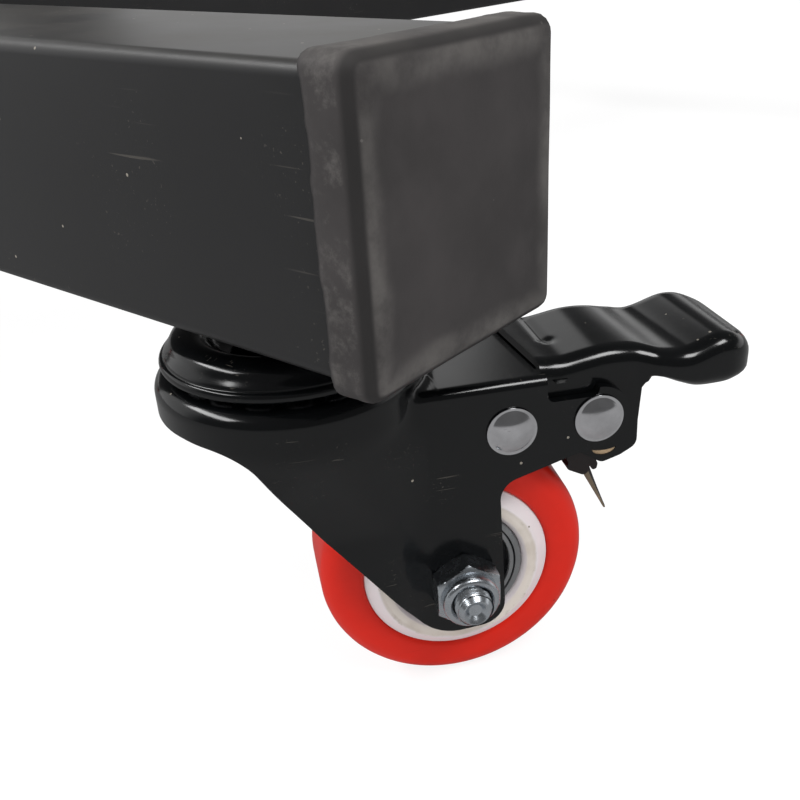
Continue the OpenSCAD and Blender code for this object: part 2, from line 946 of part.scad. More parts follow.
module lever_grip() {
    ribs = floor(grip_length / 10) - 2;
    color("#1a1a1b")
        along_lever()
            translate([0, 0, lever_length - grip_length])
                difference() {
                    union() {
                        cylinder(d = lever_d + 2 * grip_wall, h = grip_length + grip_wall);
                        for (i = [1:ribs])
                            translate([0, 0, 10 * i])
                                cylinder(d = lever_d + 2 * grip_wall + 2, h = 5);
                    }
                    translate([0, 0, -1])
                        cylinder(d = lever_d, h = grip_length + 1);
                }
}

// ---- adapter ----

module inner_column() {
    color("#2c2d2f")
        translate([0, lift_y, column_top - inner_engaged]) {
            square_tube(inner_column, inner_wall, 3, inner_engaged + pin_rise + plate_height / 2);
            translate([0, 0, inner_engaged + face_gap])
                difference() {
                    linear_extrude(collar_h)
                        polygon(square_outline(column + 4, 4));
                    translate([0, 0, -1])
                        linear_extrude(collar_h + 2)
                            polygon(square_outline(inner_column - 0.5, 3));
                }
        }
}

module adapter_plate() {
    color("#202123")
        translate([0, lift_y + inner_column / 2 + plate_t / 2, pin_z])
            difference() {
                across(plate_t)
                    polygon(rounded([[-plate_width / 2, -plate_height / 2, 8],
                                     [plate_width / 2, -plate_height / 2, 8],
                                     [plate_width / 2, plate_height / 2, 8],
                                     [-plate_width / 2, plate_height / 2, 8]]));
                for (s = [-1, 1])
                    translate([s * pin_pitch / 2, 0, 0])
                        rod(spigot_r, 2 * plate_t);
            }
}

module adapter_pins() {
    color("silver")
        for (s = [-1, 1])
            translate([s * pin_pitch / 2, lift_y + inner_column / 2 + plate_t, pin_z])
                rotate([-90, 0, 0]) {
                    translate([0, 0, -plate_t])
                        cylinder(r = spigot_r, h = plate_t);
                    cylinder(d = pin_collar_d, h = pin_collar_t);
                    translate([0, 0, pin_collar_t])
                        cylinder(d = pin_d, h = pin_length);
                    translate([0, 0, pin_collar_t + pin_length])
                        cylinder(r1 = pin_d / 2, r2 = pin_d / 2 - tip_taper, h = tip_length);
                }
}

module clamp_screw() {
    from = inner_column / 2 + face_gap;
    to = column / 2 + boss_h + clamp_gap;
    color("silver")
        translate([0, lift_y, clamp_z])
            rotate([0, 90, 0]) {
                translate([0, 0, from])
                    cylinder(d = clamp_d, h = to - from);
                translate([0, 0, to])
                    cylinder(d = clamp_d + 8, h = 12);
                translate([0, 0, to + 6])
                    rod(4, clamp_bar);
            }
}

// ---- assembly ----

near_arm();
far_arm();
spine();
gussets();
end_caps();
castor_stems();
stem_nuts();
head_cups();
swivel_balls();
lift_cheeks();
lift_stop();
pivot_bolt();
pivot_nut();
pivot_tube();
pivot_bushes();
column_tube();
lever_socket();
lever_tube();
lever_grip();
lever_pin();
inner_column();
adapter_plate();
adapter_pins();
clamp_screw();
for (k = castor_numbers) {
    at_castor(k) color("#17181a") fork();
    at_castor(k) color("#d8dade") rivets();
    at_castor(k) color("#c4c8cc") axle_bolt();
    at_castor(k) color("#9a9da0") axle_sleeve();
    at_castor(k) color("#1d1e20") { brake_arm(); brake_blade(0); }
    at_castor(k) color("#cf2f22") tread();
    at_castor(k) color("#d9d6d0") hub();
    at_castor(k) color("#a8abaf") bearings();
    at_castor(k) color("#131416") pedal();
}
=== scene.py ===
import json
import math
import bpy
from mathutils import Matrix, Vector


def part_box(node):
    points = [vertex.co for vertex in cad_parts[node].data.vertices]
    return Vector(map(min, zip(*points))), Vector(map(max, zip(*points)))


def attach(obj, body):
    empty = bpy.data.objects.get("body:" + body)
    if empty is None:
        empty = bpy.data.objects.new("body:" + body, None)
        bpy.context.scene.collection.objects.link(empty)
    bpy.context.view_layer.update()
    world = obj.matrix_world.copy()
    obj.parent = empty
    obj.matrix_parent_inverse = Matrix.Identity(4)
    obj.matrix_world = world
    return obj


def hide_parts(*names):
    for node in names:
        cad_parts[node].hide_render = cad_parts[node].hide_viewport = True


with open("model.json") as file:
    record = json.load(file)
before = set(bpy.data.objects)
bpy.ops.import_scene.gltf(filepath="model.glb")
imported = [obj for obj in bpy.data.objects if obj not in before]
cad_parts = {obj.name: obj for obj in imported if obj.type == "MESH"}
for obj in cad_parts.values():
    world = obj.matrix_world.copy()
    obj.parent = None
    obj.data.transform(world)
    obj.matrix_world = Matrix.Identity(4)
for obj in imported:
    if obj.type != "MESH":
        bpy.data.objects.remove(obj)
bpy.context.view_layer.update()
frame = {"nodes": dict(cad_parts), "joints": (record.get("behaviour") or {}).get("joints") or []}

from types import SimpleNamespace

import bmesh
import bpy
import numpy as np
from bpy.props import FloatProperty, FloatVectorProperty, PointerProperty
from bpy.types import Operator, Panel, PropertyGroup
from mathutils import Matrix, Vector, noise

bl_info = {
    "name": "Paddock stand",
    "version": (1, 0, 0),
    "blender": (4, 5, 0),
    "location": "View3D > Sidebar > Stand",
    "description": "Dresses a motorcycle paddock stand with its finished pieces",
    "category": "Object",
}

# One millimetre in Blender's metres
MM = 0.001
CASTORS = (1, 2, 3, 4)
UP = Vector((0, 0, 1))
# Degrees that the camera stands round to the right of the front, looks down and leans
CAMERA_TURN = 38.21
CAMERA_RISE = 27.55
CAMERA_ROLL = -2.43
CAMERA_PLACE = (0.56215, -0.54887, 0.19965)
CAMERA_LENS = 42.86
# Half of the floor's side, and its depth under the wheels that keeps it off their treads
FLOOR_HALF = 9000
FLOOR_DROP = 0.0002
# Degrees of the lever and of the lift stop's slope
LEVER_LEAN = 45
STOP_SLOPE = 45
# Play between a bore and what turns in it
FIT = 0.05
# Depth of the clamp screw under the column's top, and of the lever's pin under the socket's mouth
CLAMP_DROP = 40
LEVER_PIN_DROP = 30
# Turns +Z to -Y, the side of a castor that carries the axle nut
TO_FRONT = Matrix.Rotation(math.pi / 2, 4, "X")
JOINTS = {joint["name"]: joint for joint in frame["joints"]}
# Height of the arms' middle and its distance from the stand's centre line
ARM_Y = abs((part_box("near_arm")[0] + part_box("near_arm")[1]).y / 2)
ARM_Z = (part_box("near_arm")[0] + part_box("near_arm")[1]).z / 2


# ---- properties ----

def length(name, millimetres, description):
    """A length property, given in millimetres and held in metres."""
    return FloatProperty(name=name, description=description, default=millimetres * MM, min=0,
                         precision=5, unit="LENGTH")


def paint(name, screen, description):
    """A colour property, given as it looks on a screen, from 0 to 255."""
    linear = [((c / 255 + 0.055) / 1.055) ** 2.4 if c > 10 else c / 255 / 12.92 for c in screen]
    return FloatVectorProperty(name=name, description=description, subtype="COLOR", size=3,
                               min=0, max=1, default=linear)


class StandFrameSizes(PropertyGroup):
    """Sizes of the welded frame and its end caps."""
    tube: length("Tube", 60, "Outer width of the square tubes")
    tube_wall: length("Tube wall", 3, "Wall of the square tubes")
    tube_corner: length("Tube corner", 3, "Outer corner radius of the square tubes")
    gusset_leg: length("Gusset leg", 60, "Length of the legs of the gussets")
    gusset_t: length("Gusset thickness", 6, "Thickness of the gussets")
    weld: length("Weld", 3, "Radius of the weld beads")
    cap_wall: length("Cap wall", 2.2, "Wall of the rubber end caps")
    cap_skirt: length("Cap skirt", 9, "Length of the caps' skirts on the tube")
    cap_edge: length("Cap edge", 3.9, "Rounding of the caps' outer edges")
    cap_wave: length("Cap wave", 0.7, "How far the caps' cut lips wander")


class StandCastorSizes(PropertyGroup):
    """Sizes of the castors."""
    stem_hex: length("Stem hexagon", 24, "Across flats of the hexagon above the head")
    stem_d: length("Stem", 12, "Diameter of the threaded stem")
    stem_length: length("Stem length", 20, "Length of the stem above the arm's underside")
    cup_d: length("Cup", 62.6, "Outer diameter of the ball race cup")
    crown_drop: length("Crown drop", 6.6, "Drop from the arm to the cup's crown")
    lip_drop: length("Lip drop", 14.4, "Drop from the arm to the cup's lip")
    recess_d: length("Recess", 35, "Diameter of the recess in the cup")
    floor_drop: length("Recess floor", 11.4, "Drop from the arm to the recess floor")
    fork_width: length("Fork width", 41, "Outer width over the fork's plates")
    sheet: length("Fork sheet", 2.5, "Sheet thickness of the fork")
    dome_d: length("Dome", 67, "Outer diameter of the fork's dome")
    dome_drop: length("Dome drop", 16.4, "Drop from the arm to the top of the dome")
    dome_rim: length("Dome rim", 9, "Depth of the dome's rim")
    platform_drop: length("Platform drop", 22.5, "Drop from the arm to the platform")
    trail: length("Trail", 38.2, "Distance of the axle behind the swivel axis")
    kingpin_d: length("Kingpin", 12, "Diameter of the kingpin")
    kingpin_head_d: length("Kingpin head", 26, "Diameter of the kingpin's riveted head")
    foot_r: length("Fork foot", 13, "Radius of the plates' rounded foot")
    ear_r: length("Ear", 8.8, "Radius of the ear around the pedal's rivet")
    rivet_1_x: length("Front rivet", 52, "Distance of the front rivet behind the swivel axis")
    rivet_pitch: length("Rivet pitch", 23.4, "Distance between the rivets")
    rivet_drop: length("Rivet drop", 36, "Drop from the arm to the rivets")
    rivet_d: length("Rivet head", 13.4, "Diameter of the rivets' heads")
    rivet_h: length("Rivet height", 2.4, "Height of the rivets' heads")
    shank_d: length("Rivet shank", 6, "Diameter of the rivets' shanks")
    wheel_d: length("Wheel", 75, "Diameter of the tread")
    tread_width: length("Tread width", 29, "Width of the tread")
    shoulder: length("Shoulder", 6, "Rounding of the tread's shoulders")
    hub_d: length("Hub", 52.2, "Diameter of the hub under the tread")
    hub_width: length("Hub width", 27.4, "Width of the hub")
    bearing_od: length("Bearing", 37, "Outer diameter of the ball bearings")
    bearing_id: length("Bearing bore", 12, "Bore of the ball bearings")
    bearing_depth: length("Bearing depth", 1, "Depth of the bearings under the hub's bosses")
    boss_d: length("Boss", 45, "Diameter of the hub's raised bosses")
    boss_rise: length("Boss rise", 2.3, "Height of the bosses over the hub's rims")
    axle_d: length("Axle", 10, "Diameter of the axle bolt")
    axle_hex: length("Axle hexagon", 17, "Across flats of the axle's nut and head")
    axle_pitch: length("Thread pitch", 1.5, "Pitch of the axle bolt's thread")
    nut_h: length("Nut height", 10, "Height of the locking nut")
    head_h: length("Head height", 6.4, "Height of the bolt's head")
    tail: length("Bolt tail", 3.8, "Length of bolt that stands out of the nut")
    pedal_sheet: length("Pedal sheet", 2, "Sheet thickness of the pedal")
    pedal_width: length("Pedal width", 39, "Width of the pedal's tread")
    pedal_neck: length("Pedal neck", 35.4, "Width of the pedal between the fork's plates")
    pedal_reach: length("Pedal reach", 46, "Distance from the pedal's rivet to its tip")
    pedal_edge: length("Pedal edge", 4.6, "Rounding of the pedal's edges")
    brake_width: length("Brake width", 22, "Width of the brake arm")
    blade: length("Blade", 18.4, "Length of the steel blade under the brake arm")
    blade_t: length("Blade thickness", 1, "Thickness of the steel blade")


class StandLiftSizes(PropertyGroup):
    """Sizes of the lift, its lever and the adapter."""
    cheek_t: length("Cheek", 8, "Thickness of the pivot cheeks")
    pivot_rise: length("Pivot rise", 45, "Height of the pivot above the spine")
    pivot_d: length("Pivot bolt", 16, "Diameter of the pivot bolt")
    pivot_hex: length("Pivot hexagon", 24, "Across flats of the pivot bolt's head and nut")
    pivot_tube_d: length("Pivot tube", 38, "Outer diameter of the pivot tube")
    pivot_tube_l: length("Pivot tube length", 56, "Length of the pivot tube")
    bush_flange: length("Bush flange", 2, "Thickness of the bushes' flanges")
    bush_wall: length("Bush wall", 3, "Wall of the bushes")
    column: length("Column", 50, "Outer width of the square column")
    column_wall: length("Column wall", 3, "Wall of the column")
    column_rise: length("Column rise", 246, "Height of the column's top above the pivot")
    inner: length("Inner column", 43.2, "Outer width of the inner column")
    engaged: length("Engaged length", 190, "Length of the inner column inside the column")
    pin_rise: length("Pin rise", 41, "Height of the pins above the column")
    lever_length: length("Lever", 620, "Length of the lever from the pivot to its end")
    lever_d: length("Lever tube", 34, "Outer diameter of the lever tube")
    lever_wall: length("Lever wall", 2.5, "Wall of the lever tube")
    socket_d: length("Socket", 42, "Outer diameter of the lever's socket")
    socket_reach: length("Socket reach", 150, "Distance from the pivot to the socket's mouth")
    grip_length: length("Grip", 130, "Length of the rubber grip")
    grip_wall: length("Grip wall", 3, "Wall of the rubber grip")
    plate_width: length("Plate width", 170, "Width of the adapter plate")
    plate_height: length("Plate height", 50, "Height of the adapter plate")
    plate_t: length("Plate thickness", 10, "Thickness of the adapter plate")
    pin_pitch: length("Pin pitch", 120, "Distance between the pins")
    pin_d: length("Pin", 18, "Diameter of the pins")
    pin_length: length("Pin length", 50, "Length of the pins beyond their collars")
    collar_d: length("Pin collar", 28, "Diameter of the pins' collars")
    collar_t: length("Collar thickness", 6, "Thickness of the pins' collars")
    boss_r: length("Boss", 12, "Radius of the clamp screw's boss")
    boss_h: length("Boss height", 12, "Height of the clamp screw's boss")
    clamp_d: length("Clamp screw", 12, "Diameter of the clamp screw")
    clamp_bar: length("Clamp bar", 76, "Length of the clamp screw's cross bar")


class StandColours(PropertyGroup):
    """Colours of the finishes and the stage."""
    satin: paint("Satin black", (24, 24, 25), "Powder coat on the frame")
    gloss: paint("Gloss black", (6, 7, 8), "Paint on the castors' pressed steel")
    cap: paint("Cap rubber", (45, 42, 42), "Rubber of the end caps")
    cap_dust: paint("Cap dust", (98, 95, 92), "Dust rubbed into the end caps")
    grip: paint("Grip rubber", (24, 24, 24), "Rubber of the lever's grip")
    dust: paint("Dust", (132, 126, 116), "Dust and scuffs on the black paint")
    nickel: paint("Nickel", (226, 226, 229), "Plating on the rivets")
    zinc: paint("Zinc", (206, 212, 218), "Plating on the bolts and nuts")
    steel: paint("Steel", (176, 178, 180), "Ground steel of bearings and pins")
    tread: paint("Tread", (214, 34, 17), "Polyurethane of the treads")
    hub: paint("Hub", (222, 214, 216), "Moulded plastic of the hubs")
    cream: paint("Cream", (212, 203, 191), "Greased plastic of the hubs' bosses")
    grime: paint("Grime", (150, 134, 112), "Dirt on the hubs")
    grit: paint("Grit", (196, 168, 134), "Grit packed into the pedals' slots")
    blade: paint("Blade", (158, 143, 122), "Soiled steel of the brakes' blades")
    bronze: paint("Bronze", (178, 140, 86), "Pivot bushes")
    # Real colour of the nuts' inserts; on the bearings the same colour is painted shade in the gaps
    # between their races.
    nylon: paint("Nylon", (30, 31, 34), "Insert of the locking nuts")
    # The shoe's dark tone is its own colour; its reddish tint is a painted reflection of the red
    # tread.
    shoe: paint("Brake shoe", (24, 15, 15), "Moulded block on the brake arm")
    floor: paint("Floor", (236, 236, 236), "Floor under the stand")


def sizes(group):
    """A property group's lengths in millimetres, by name."""
    names = [key for key in group.bl_rna.properties.keys() if key not in ("rna_type", "name")]
    return SimpleNamespace(**{key: round(getattr(group, key) / MM, 4) for key in names})


# ---- outlines ----

def corner(before, at, after, radius, steps):
    """Points of the arc that rounds the corner at, between its neighbours."""
    at = Vector(at[:2])
    if not radius:
        return [tuple(at)]
    a = (Vector(before[:2]) - at).normalized()
    b = (Vector(after[:2]) - at).normalized()
    half = a.angle(b) / 2
    centre = at + (a + b).normalized() * radius / math.sin(half)
    first = at + a * radius / math.tan(half) - centre
    last = at + b * radius / math.tan(half) - centre
    start = math.atan2(first.y, first.x)
    sweep = (math.atan2(last.y, last.x) - start + 3 * math.pi) % (2 * math.pi) - math.pi
    return [tuple(centre + radius * Vector((math.cos(start + sweep * i / steps),
                                            math.sin(start + sweep * i / steps))))
            for i in range(steps + 1)]


def rounded(points, steps=6, closed=True):
    """A polyline whose corners (x, y, radius) are rounded."""
    made = []
    for i, point in enumerate(points):
        inner = closed or 0 < i < len(points) - 1
        radius = point[2] if inner and len(point) > 2 else 0
        made += corner(points[i - 1], point, points[(i + 1) % len(points)], radius, steps)
    return made


def square(width, radius, steps=6):
    """Outline of a square with rounded corners."""
    h = width / 2
    return rounded([(-h, -h, radius), (h, -h, radius), (h, h, radius), (-h, h, radius)], steps)


def through(points, steps=5):
    """A smooth curve through points, as an array."""
    p = np.array(points, float)
    made = []
    for i in range(len(p) - 1):
        a, b, c, d = p[max(i - 1, 0)], p[i], p[i + 1], p[min(i + 2, len(p) - 1)]
        for t in np.arange(steps) / steps:
            made.append((2 * b + (c - a) * t + (2 * a - 5 * b + 4 * c - d) * t * t
                         + (3 * b - a - 3 * c + d) * t ** 3) / 2)
    return np.array(made + [p[-1]])


def resampled(points, step):
    """Points at even steps along a polyline."""
    p = np.array(points, float)
    run = np.concatenate([[0], np.cumsum(np.linalg.norm(np.diff(p, axis=0), axis=1))])
    at = np.linspace(0, run[-1], max(2, round(run[-1] / step) + 1))
    return np.stack([np.interp(at, run, p[:, i]) for i in range(p.shape[1])], axis=1)


def smooth_step(x, low, high):
    """0 below low, 1 above high and smooth between."""
    t = np.clip((np.asarray(x, float) - low) / (high - low), 0, 1)
    return t * t * (3 - 2 * t)


# ---- meshes ----

class Shape:
    """Points in millimetres and the faces between them."""

    def __init__(self):
        self.points = []
        self.faces = []
        self.tints = []

    def rows(self, rows, ring=False, loop=False, tint=0):
        """Faces between rows of points; ring closes each row, loop joins the last to the first."""
        start, n, m = len(self.points), len(rows[0]), len(rows)
        self.points += [tuple(p) for row in rows for p in row]
        for i in range(m if loop else m - 1):
            for j in range(n if ring else n - 1):
                a, b = start + i * n + j, start + i * n + (j + 1) % n
                below = (start + (i + 1) % m * n) - (start + i * n)
                self.faces.append((a, b, b + below, a + below))
                self.tints.append(tint)
        return self

    def face(self, points, tint=0):
        """One flat face over an outline."""
        start = len(self.points)
        self.points += [tuple(p) for p in points]
        self.faces.append(tuple(range(start, start + len(points))))
        self.tints.append(tint)
        return self

    def turned(self, profile, steps=64, tint=0, loop=False):
        """A profile of (radius, height) turned about Z."""
        angles = [2 * math.pi * i / steps for i in range(steps)]
        return self.rows([[(r * math.cos(a), r * math.sin(a), h) for a in angles]
                          for r, h in profile], ring=True, loop=loop, tint=tint)

    def prism(self, outline, low, high, tint=0):
        """An outline in X and Y drawn from low to high along Z, with flat ends."""
        self.rows([[(x, y, low) for x, y in outline], [(x, y, high) for x, y in outline]],
                  ring=True, tint=tint)
        self.face([(x, y, low) for x, y in outline], tint)
        return self.face([(x, y, high) for x, y in outline], tint)

    def pipe(self, outer, inner, low, high, tint=0):
        """A tube between two outlines with as many points each."""
        return self.rows([[(x, y, low) for x, y in outer], [(x, y, high) for x, y in outer],
                          [(x, y, high) for x, y in inner], [(x, y, low) for x, y in inner]],
                         ring=True, loop=True, tint=tint)

    def add(self, other, at=Matrix()):
        """Another shape, placed by a matrix in millimetres."""
        start = len(self.points)
        self.points += [tuple(at @ Vector(p)) for p in other.points]
        self.faces += [tuple(start + i for i in face) for face in other.faces]
        self.tints += other.tints
        return self


def shift(x=0, y=0, z=0):
    """A translation matrix."""
    return Matrix.Translation((x, y, z))


def mesh_of(name, shape, materials, sharp):
    """A clean mesh of a shape, in metres, with outward faces and smooth shading."""
    mesh = bpy.data.meshes.new(name)
    mesh.from_pydata([Vector(p) * MM for p in shape.points], [], shape.faces)
    mesh.polygons.foreach_set("material_index", shape.tints)
    for material in materials:
        mesh.materials.append(material)
    work = bmesh.new()
    work.from_mesh(mesh)
    bmesh.ops.remove_doubles(work, verts=work.verts, dist=0.002 * MM)
    bmesh.ops.recalc_face_normals(work, faces=work.faces)
    work.to_mesh(mesh)
    work.free()
    mesh.shade_smooth()
    mesh.set_sharp_from_angle(angle=math.radians(sharp))
    return mesh


def dress(piece, sheet, bevel):
    """Adds the modifiers that give a piece its sheet thickness and rounded edges."""
    if sheet:
        solid = piece.modifiers.new("Sheet", "SOLIDIFY")
        solid.thickness = sheet * MM
        solid.offset = -1
    if bevel:
        edge = piece.modifiers.new("Edges", "BEVEL")
        edge.width = bevel * MM
        edge.segments = 3
        edge.limit_method = "ANGLE"
        edge.angle_limit = math.radians(40)
        edge.harden_normals = True


def place(name, mesh, body, slot, nodes, at=None, sheet=0, bevel=0):
    """Puts a mesh in the scene as a piece that rides on a body and stands for CAD nodes."""
    piece = bpy.data.objects.new(name, mesh)
    bpy.context.scene.collection.objects.link(piece)
    if at:
        piece.matrix_world = at
    dress(piece, sheet, bevel)
    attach(piece, body)
    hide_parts(*nodes)
    return piece


def castor_frame(k):
    """The matrix, in metres, of castor k: X along its trail, Y along its axle, Z up."""
    axle = Vector(JOINTS[f"wheel_spin_{k}"]["axis"])
    back = axle.cross(UP)
    turn = Matrix((back, axle, UP)).transposed().to_4x4()
    return Matrix.Translation(JOINTS[f"swivel_{k}"]["pos_m"]) @ turn


def in_mm(matrix):
    """The same placement for a shape in millimetres."""
    made = matrix.copy()
    made.translation = matrix.translation / MM
    return made


def surfaced(name, shape, finish, sharp):
    """The mesh of a shape with its finish, a slot or a row of slots, and the first slot."""
    slots = (finish,) if isinstance(finish, str) else finish
    return mesh_of(name, shape, looks(*slots), sharp), slots[0]


def on_every_castor(name, shape, finish, body, sharp=30, **dressing):
    """One piece per castor, all from one mesh."""
    mesh, slot = surfaced(name, shape, finish, sharp)
    for k in CASTORS:
        place(f"{name}_{k}", mesh, f"{body}_{k}", slot, [f"{name}_{k}"], castor_frame(k),
              **dressing)


def single(name, shape, finish, body, nodes=None, sharp=30, **dressing):
    """One piece, drawn where it belongs."""
    mesh, slot = surfaced(name, shape, finish, sharp)
    return place(name, mesh, body, slot, [name] if nodes is None else nodes, **dressing)


def sweep(path, radius, steps=10, closed=False):
    """A round bar along a path; radius is one number or one for each point."""
    p = [Vector(q) for q in path]
    n = len(p)
    radii = [radius] * n if isinstance(radius, (int, float)) else radius
    shape, rows, side = Shape(), [], None
    for i in range(n):
        before = p[i - 1] if closed or i else p[i]
        after = p[(i + 1) % n] if closed or i < n - 1 else p[i]
        along = (after - before).normalized()
        if side is None:
            side = along.orthogonal().normalized()
        side = (side - along * side.dot(along)).normalized()
        other = along.cross(side)
        rows.append([p[i] + radii[i] * (math.cos(t) * side + math.sin(t) * other)
                     for t in (2 * math.pi * j / steps for j in range(steps))])
    shape.rows(rows, ring=True, loop=closed)
    if not closed:
        shape.face(rows[0]).face(rows[-1])
    return shape


def weld(path, radius, closed=False):
    """A rippled weld bead along a path."""
    pitch = 0.95 * radius
    points = list(path) + ([path[0]] if closed else [])
    line = resampled(points, pitch / 4)
    if closed:
        line = line[:-1]
    radii = []
    for i, p in enumerate(line):
        ripple = abs(math.cos(math.pi * i / 4))
        drift = noise.noise(Vector(p) * 0.11)
        radii.append(radius * (0.84 + 0.2 * ripple + 0.14 * drift))
    return sweep(line, radii, 8, closed)


def hexagon(across, low, high, chamfer_low=0.97, chamfer_high=0.97, steps=72, bore=0):
    """A hexagonal nut or head about Z, corner on X, whose ends are turned to cones."""
    rows = []
    drop = 0.09 * across
    heights = [low + drop * t for t in (0, 0.2, 0.4, 0.6, 0.8, 1)]
    heights += [high - drop * t for t in (1, 0.8, 0.6, 0.4, 0.2, 0)]
    for h in heights:
        row = []
        for i in range(steps):
            a = 2 * math.pi * i / steps
            flat = across / 2 / math.cos((a % (math.pi / 3)) - math.pi / 6)
            cone = min(across / 2 * chamfer_low + (h - low) * 1.73,
                       across / 2 * chamfer_high + (high - h) * 1.73)
            row.append((min(flat, cone) * math.cos(a), min(flat, cone) * math.sin(a), h))
        rows.append(row)
    ends = [[(bore * math.cos(2 * math.pi * i / steps), bore * math.sin(2 * math.pi * i / steps), h)
             for i in range(steps)] for h in (high, low)]
    return Shape().rows(rows + ends, ring=True, loop=True)


def thread(diameter, pitch, low, high, depth=0.62, steps=32, per_turn=8):
    """A threaded rod about Z with plain ends."""
    rows = []
    count = round((high - low) / pitch * per_turn)
    for i in range(count + 1):
        h = low + (high - low) * i / count
        near_end = min(i, count - i) / per_turn
        row = []
        for j in range(steps):
            phase = ((h - low) / pitch - j / steps) % 1
            groove = depth * pitch * (1 - abs(2 * phase - 1)) * min(1, near_end + 0.4)
            r = diameter / 2 - groove
            a = 2 * math.pi * j / steps
            row.append((r * math.cos(a), r * math.sin(a), h))
        rows.append(row)
    return Shape().rows(rows, ring=True)


# ---- materials ----

class Nodes:
    """Adds nodes to a node tree and links them."""

    def __init__(self, tree):
        self.tree = tree

    def add(self, kind, inputs=None, **settings):
        """A node with its settings; an input is a value or another node's socket."""
        node = self.tree.nodes.new(kind)
        for key, value in settings.items():
            setattr(node, key, value)
        for key, value in (inputs or {}).items():
            if isinstance(value, bpy.types.NodeSocket):
                self.tree.links.new(value, node.inputs[key])
            else:
                node.inputs[key].default_value = value
        return node

    def math(self, operation, a, b=0.0, clamp=False):
        """The result of a math node."""
        node = self.add("ShaderNodeMath", {0: a, 1: b}, operation=operation, use_clamp=clamp)
        return node.outputs[0]

    def plus(self, a, b):
        return self.math("ADD", a, b)

    def minus(self, a, b):
        return self.math("SUBTRACT", a, b)

    def times(self, a, b):
        return self.math("MULTIPLY", a, b)

    def most(self, a, b):
        return self.math("MAXIMUM", a, b)

    def noise(self, vector, scale, detail=3.0, roughness=0.55):
        """The factor of a noise texture."""
        node = self.add("ShaderNodeTexNoise", {"Vector": vector, "Scale": scale, "Detail": detail,
                                               "Roughness": roughness})
        return node.outputs["Fac"]

    def ramp(self, value, low, high):
        """0 below low and 1 above high, smooth between."""
        node = self.add("ShaderNodeMapRange", {"Value": value, "From Min": low, "From Max": high},
                        interpolation_type="SMOOTHSTEP")
        return node.outputs["Result"]

    def blend(self, factor, a, b):
        """Colour a where the factor is 0 and b where it is 1."""
        node = self.add("ShaderNodeMix", data_type="RGBA")
        for socket, value in ((node.inputs[0], factor), (node.inputs[6], a), (node.inputs[7], b)):
            if isinstance(value, bpy.types.NodeSocket):
                self.tree.links.new(value, socket)
            else:
                socket.default_value = value
        return node.outputs[2]

    def stretched(self, vector, scale, turn=(0, 0, 0)):
        """Coordinates turned and then scaled along each axis."""
        node = self.add("ShaderNodeMapping", {"Vector": vector, "Rotation": turn, "Scale": scale})
        return node.outputs["Vector"]


def node_group(name, inputs, output):
    """A shader node group with a vector input, named number inputs and one number output."""
    tree = bpy.data.node_groups.new(name, "ShaderNodeTree")
    tree.interface.new_socket("Vector", in_out="INPUT", socket_type="NodeSocketVector")
    for label, value in inputs.items():
        socket = tree.interface.new_socket(label, in_out="INPUT", socket_type="NodeSocketFloat")
        socket.default_value = value
    tree.interface.new_socket(output, in_out="OUTPUT", socket_type="NodeSocketFloat")
    nodes = Nodes(tree)
    start = nodes.add("NodeGroupInput")
    end = nodes.add("NodeGroupOutput")
    return tree, nodes, start.outputs, end.inputs[output]


def coat_grain():
    """Fine orange peel of a sprayed or moulded surface."""
    tree, n, given, end = node_group("Coat grain", {"Scale": 900.0}, "Height")
    fine = n.noise(given["Vector"], given["Scale"], 2.0)
    broad = n.noise(given["Vector"], n.times(given["Scale"], 0.12), 1.0)
    tree.links.new(n.plus(n.times(fine, 0.6), n.times(broad, 0.4)), end)
    return tree


def mottling():
    """Cloudy variation from wear and handling."""
    tree, n, given, end = node_group("Mottling", {"Scale": 60.0, "Contrast": 1.0}, "Amount")
    cloud = n.noise(given["Vector"], given["Scale"], 5.0, 0.62)
    centred = n.times(n.minus(cloud, 0.5), given["Contrast"])
    tree.links.new(n.math("ADD", n.times(centred, 2.2), 0.5, clamp=True), end)
    return tree


def scratches():
    """Fine straight scratches in two directions."""
    tree, n, given, end = node_group("Scratches", {"Scale": 40.0, "Amount": 0.5}, "Mask")
    masks = []
    for turn, squeeze in (((0.3, 0.5, 0.9), (1, 34, 34)), ((1.1, 2.0, 0.2), (46, 1.3, 46))):
        line = n.stretched(given["Vector"], squeeze, turn)
        hair = n.noise(line, given["Scale"], 1.0)
        patch = n.noise(given["Vector"], n.times(given["Scale"], 0.9), 1.0)
        hit = n.times(n.ramp(hair, 0.7, 0.76), n.ramp(patch, 0.5, 0.66))
        masks.append(n.times(hit, given["Amount"]))
    tree.links.new(n.math("MAXIMUM", *masks), end)
    return tree


def specks():
    """Small separate dots of dust and chips."""
    tree, n, given, end = node_group("Specks", {"Scale": 160.0, "Amount": 0.5, "Size": 0.12},
                                     "Mask")
    cells = n.add("ShaderNodeTexVoronoi", {"Vector": given["Vector"], "Scale": given["Scale"],
                                           "Randomness": 1.0})
    chance = n.add("ShaderNodeSeparateColor", {"Color": cells.outputs["Color"]}).outputs["Red"]
    kept = n.math("LESS_THAN", chance, n.times(given["Amount"], 0.3))
    dot = n.math("LESS_THAN", cells.outputs["Distance"], given["Size"])
    tree.links.new(n.times(kept, dot), end)
    return tree


def settled_dust():
    """Dust on faces that look up, broken by clouds."""
    tree, n, given, end = node_group("Settled dust", {"Scale": 50.0, "Amount": 0.5}, "Mask")
    normal = n.add("ShaderNodeNewGeometry").outputs["Normal"]
    up = n.add("ShaderNodeSeparateXYZ", {"Vector": normal}).outputs["Z"]
    cloud = n.noise(given["Vector"], given["Scale"], 4.0)
    mask = n.times(n.ramp(up, 0.2, 0.95), n.plus(n.ramp(cloud, 0.35, 0.7), 0.35))
    tree.links.new(n.math("MULTIPLY", mask, given["Amount"], clamp=True), end)
    return tree


EFFECTS = {}


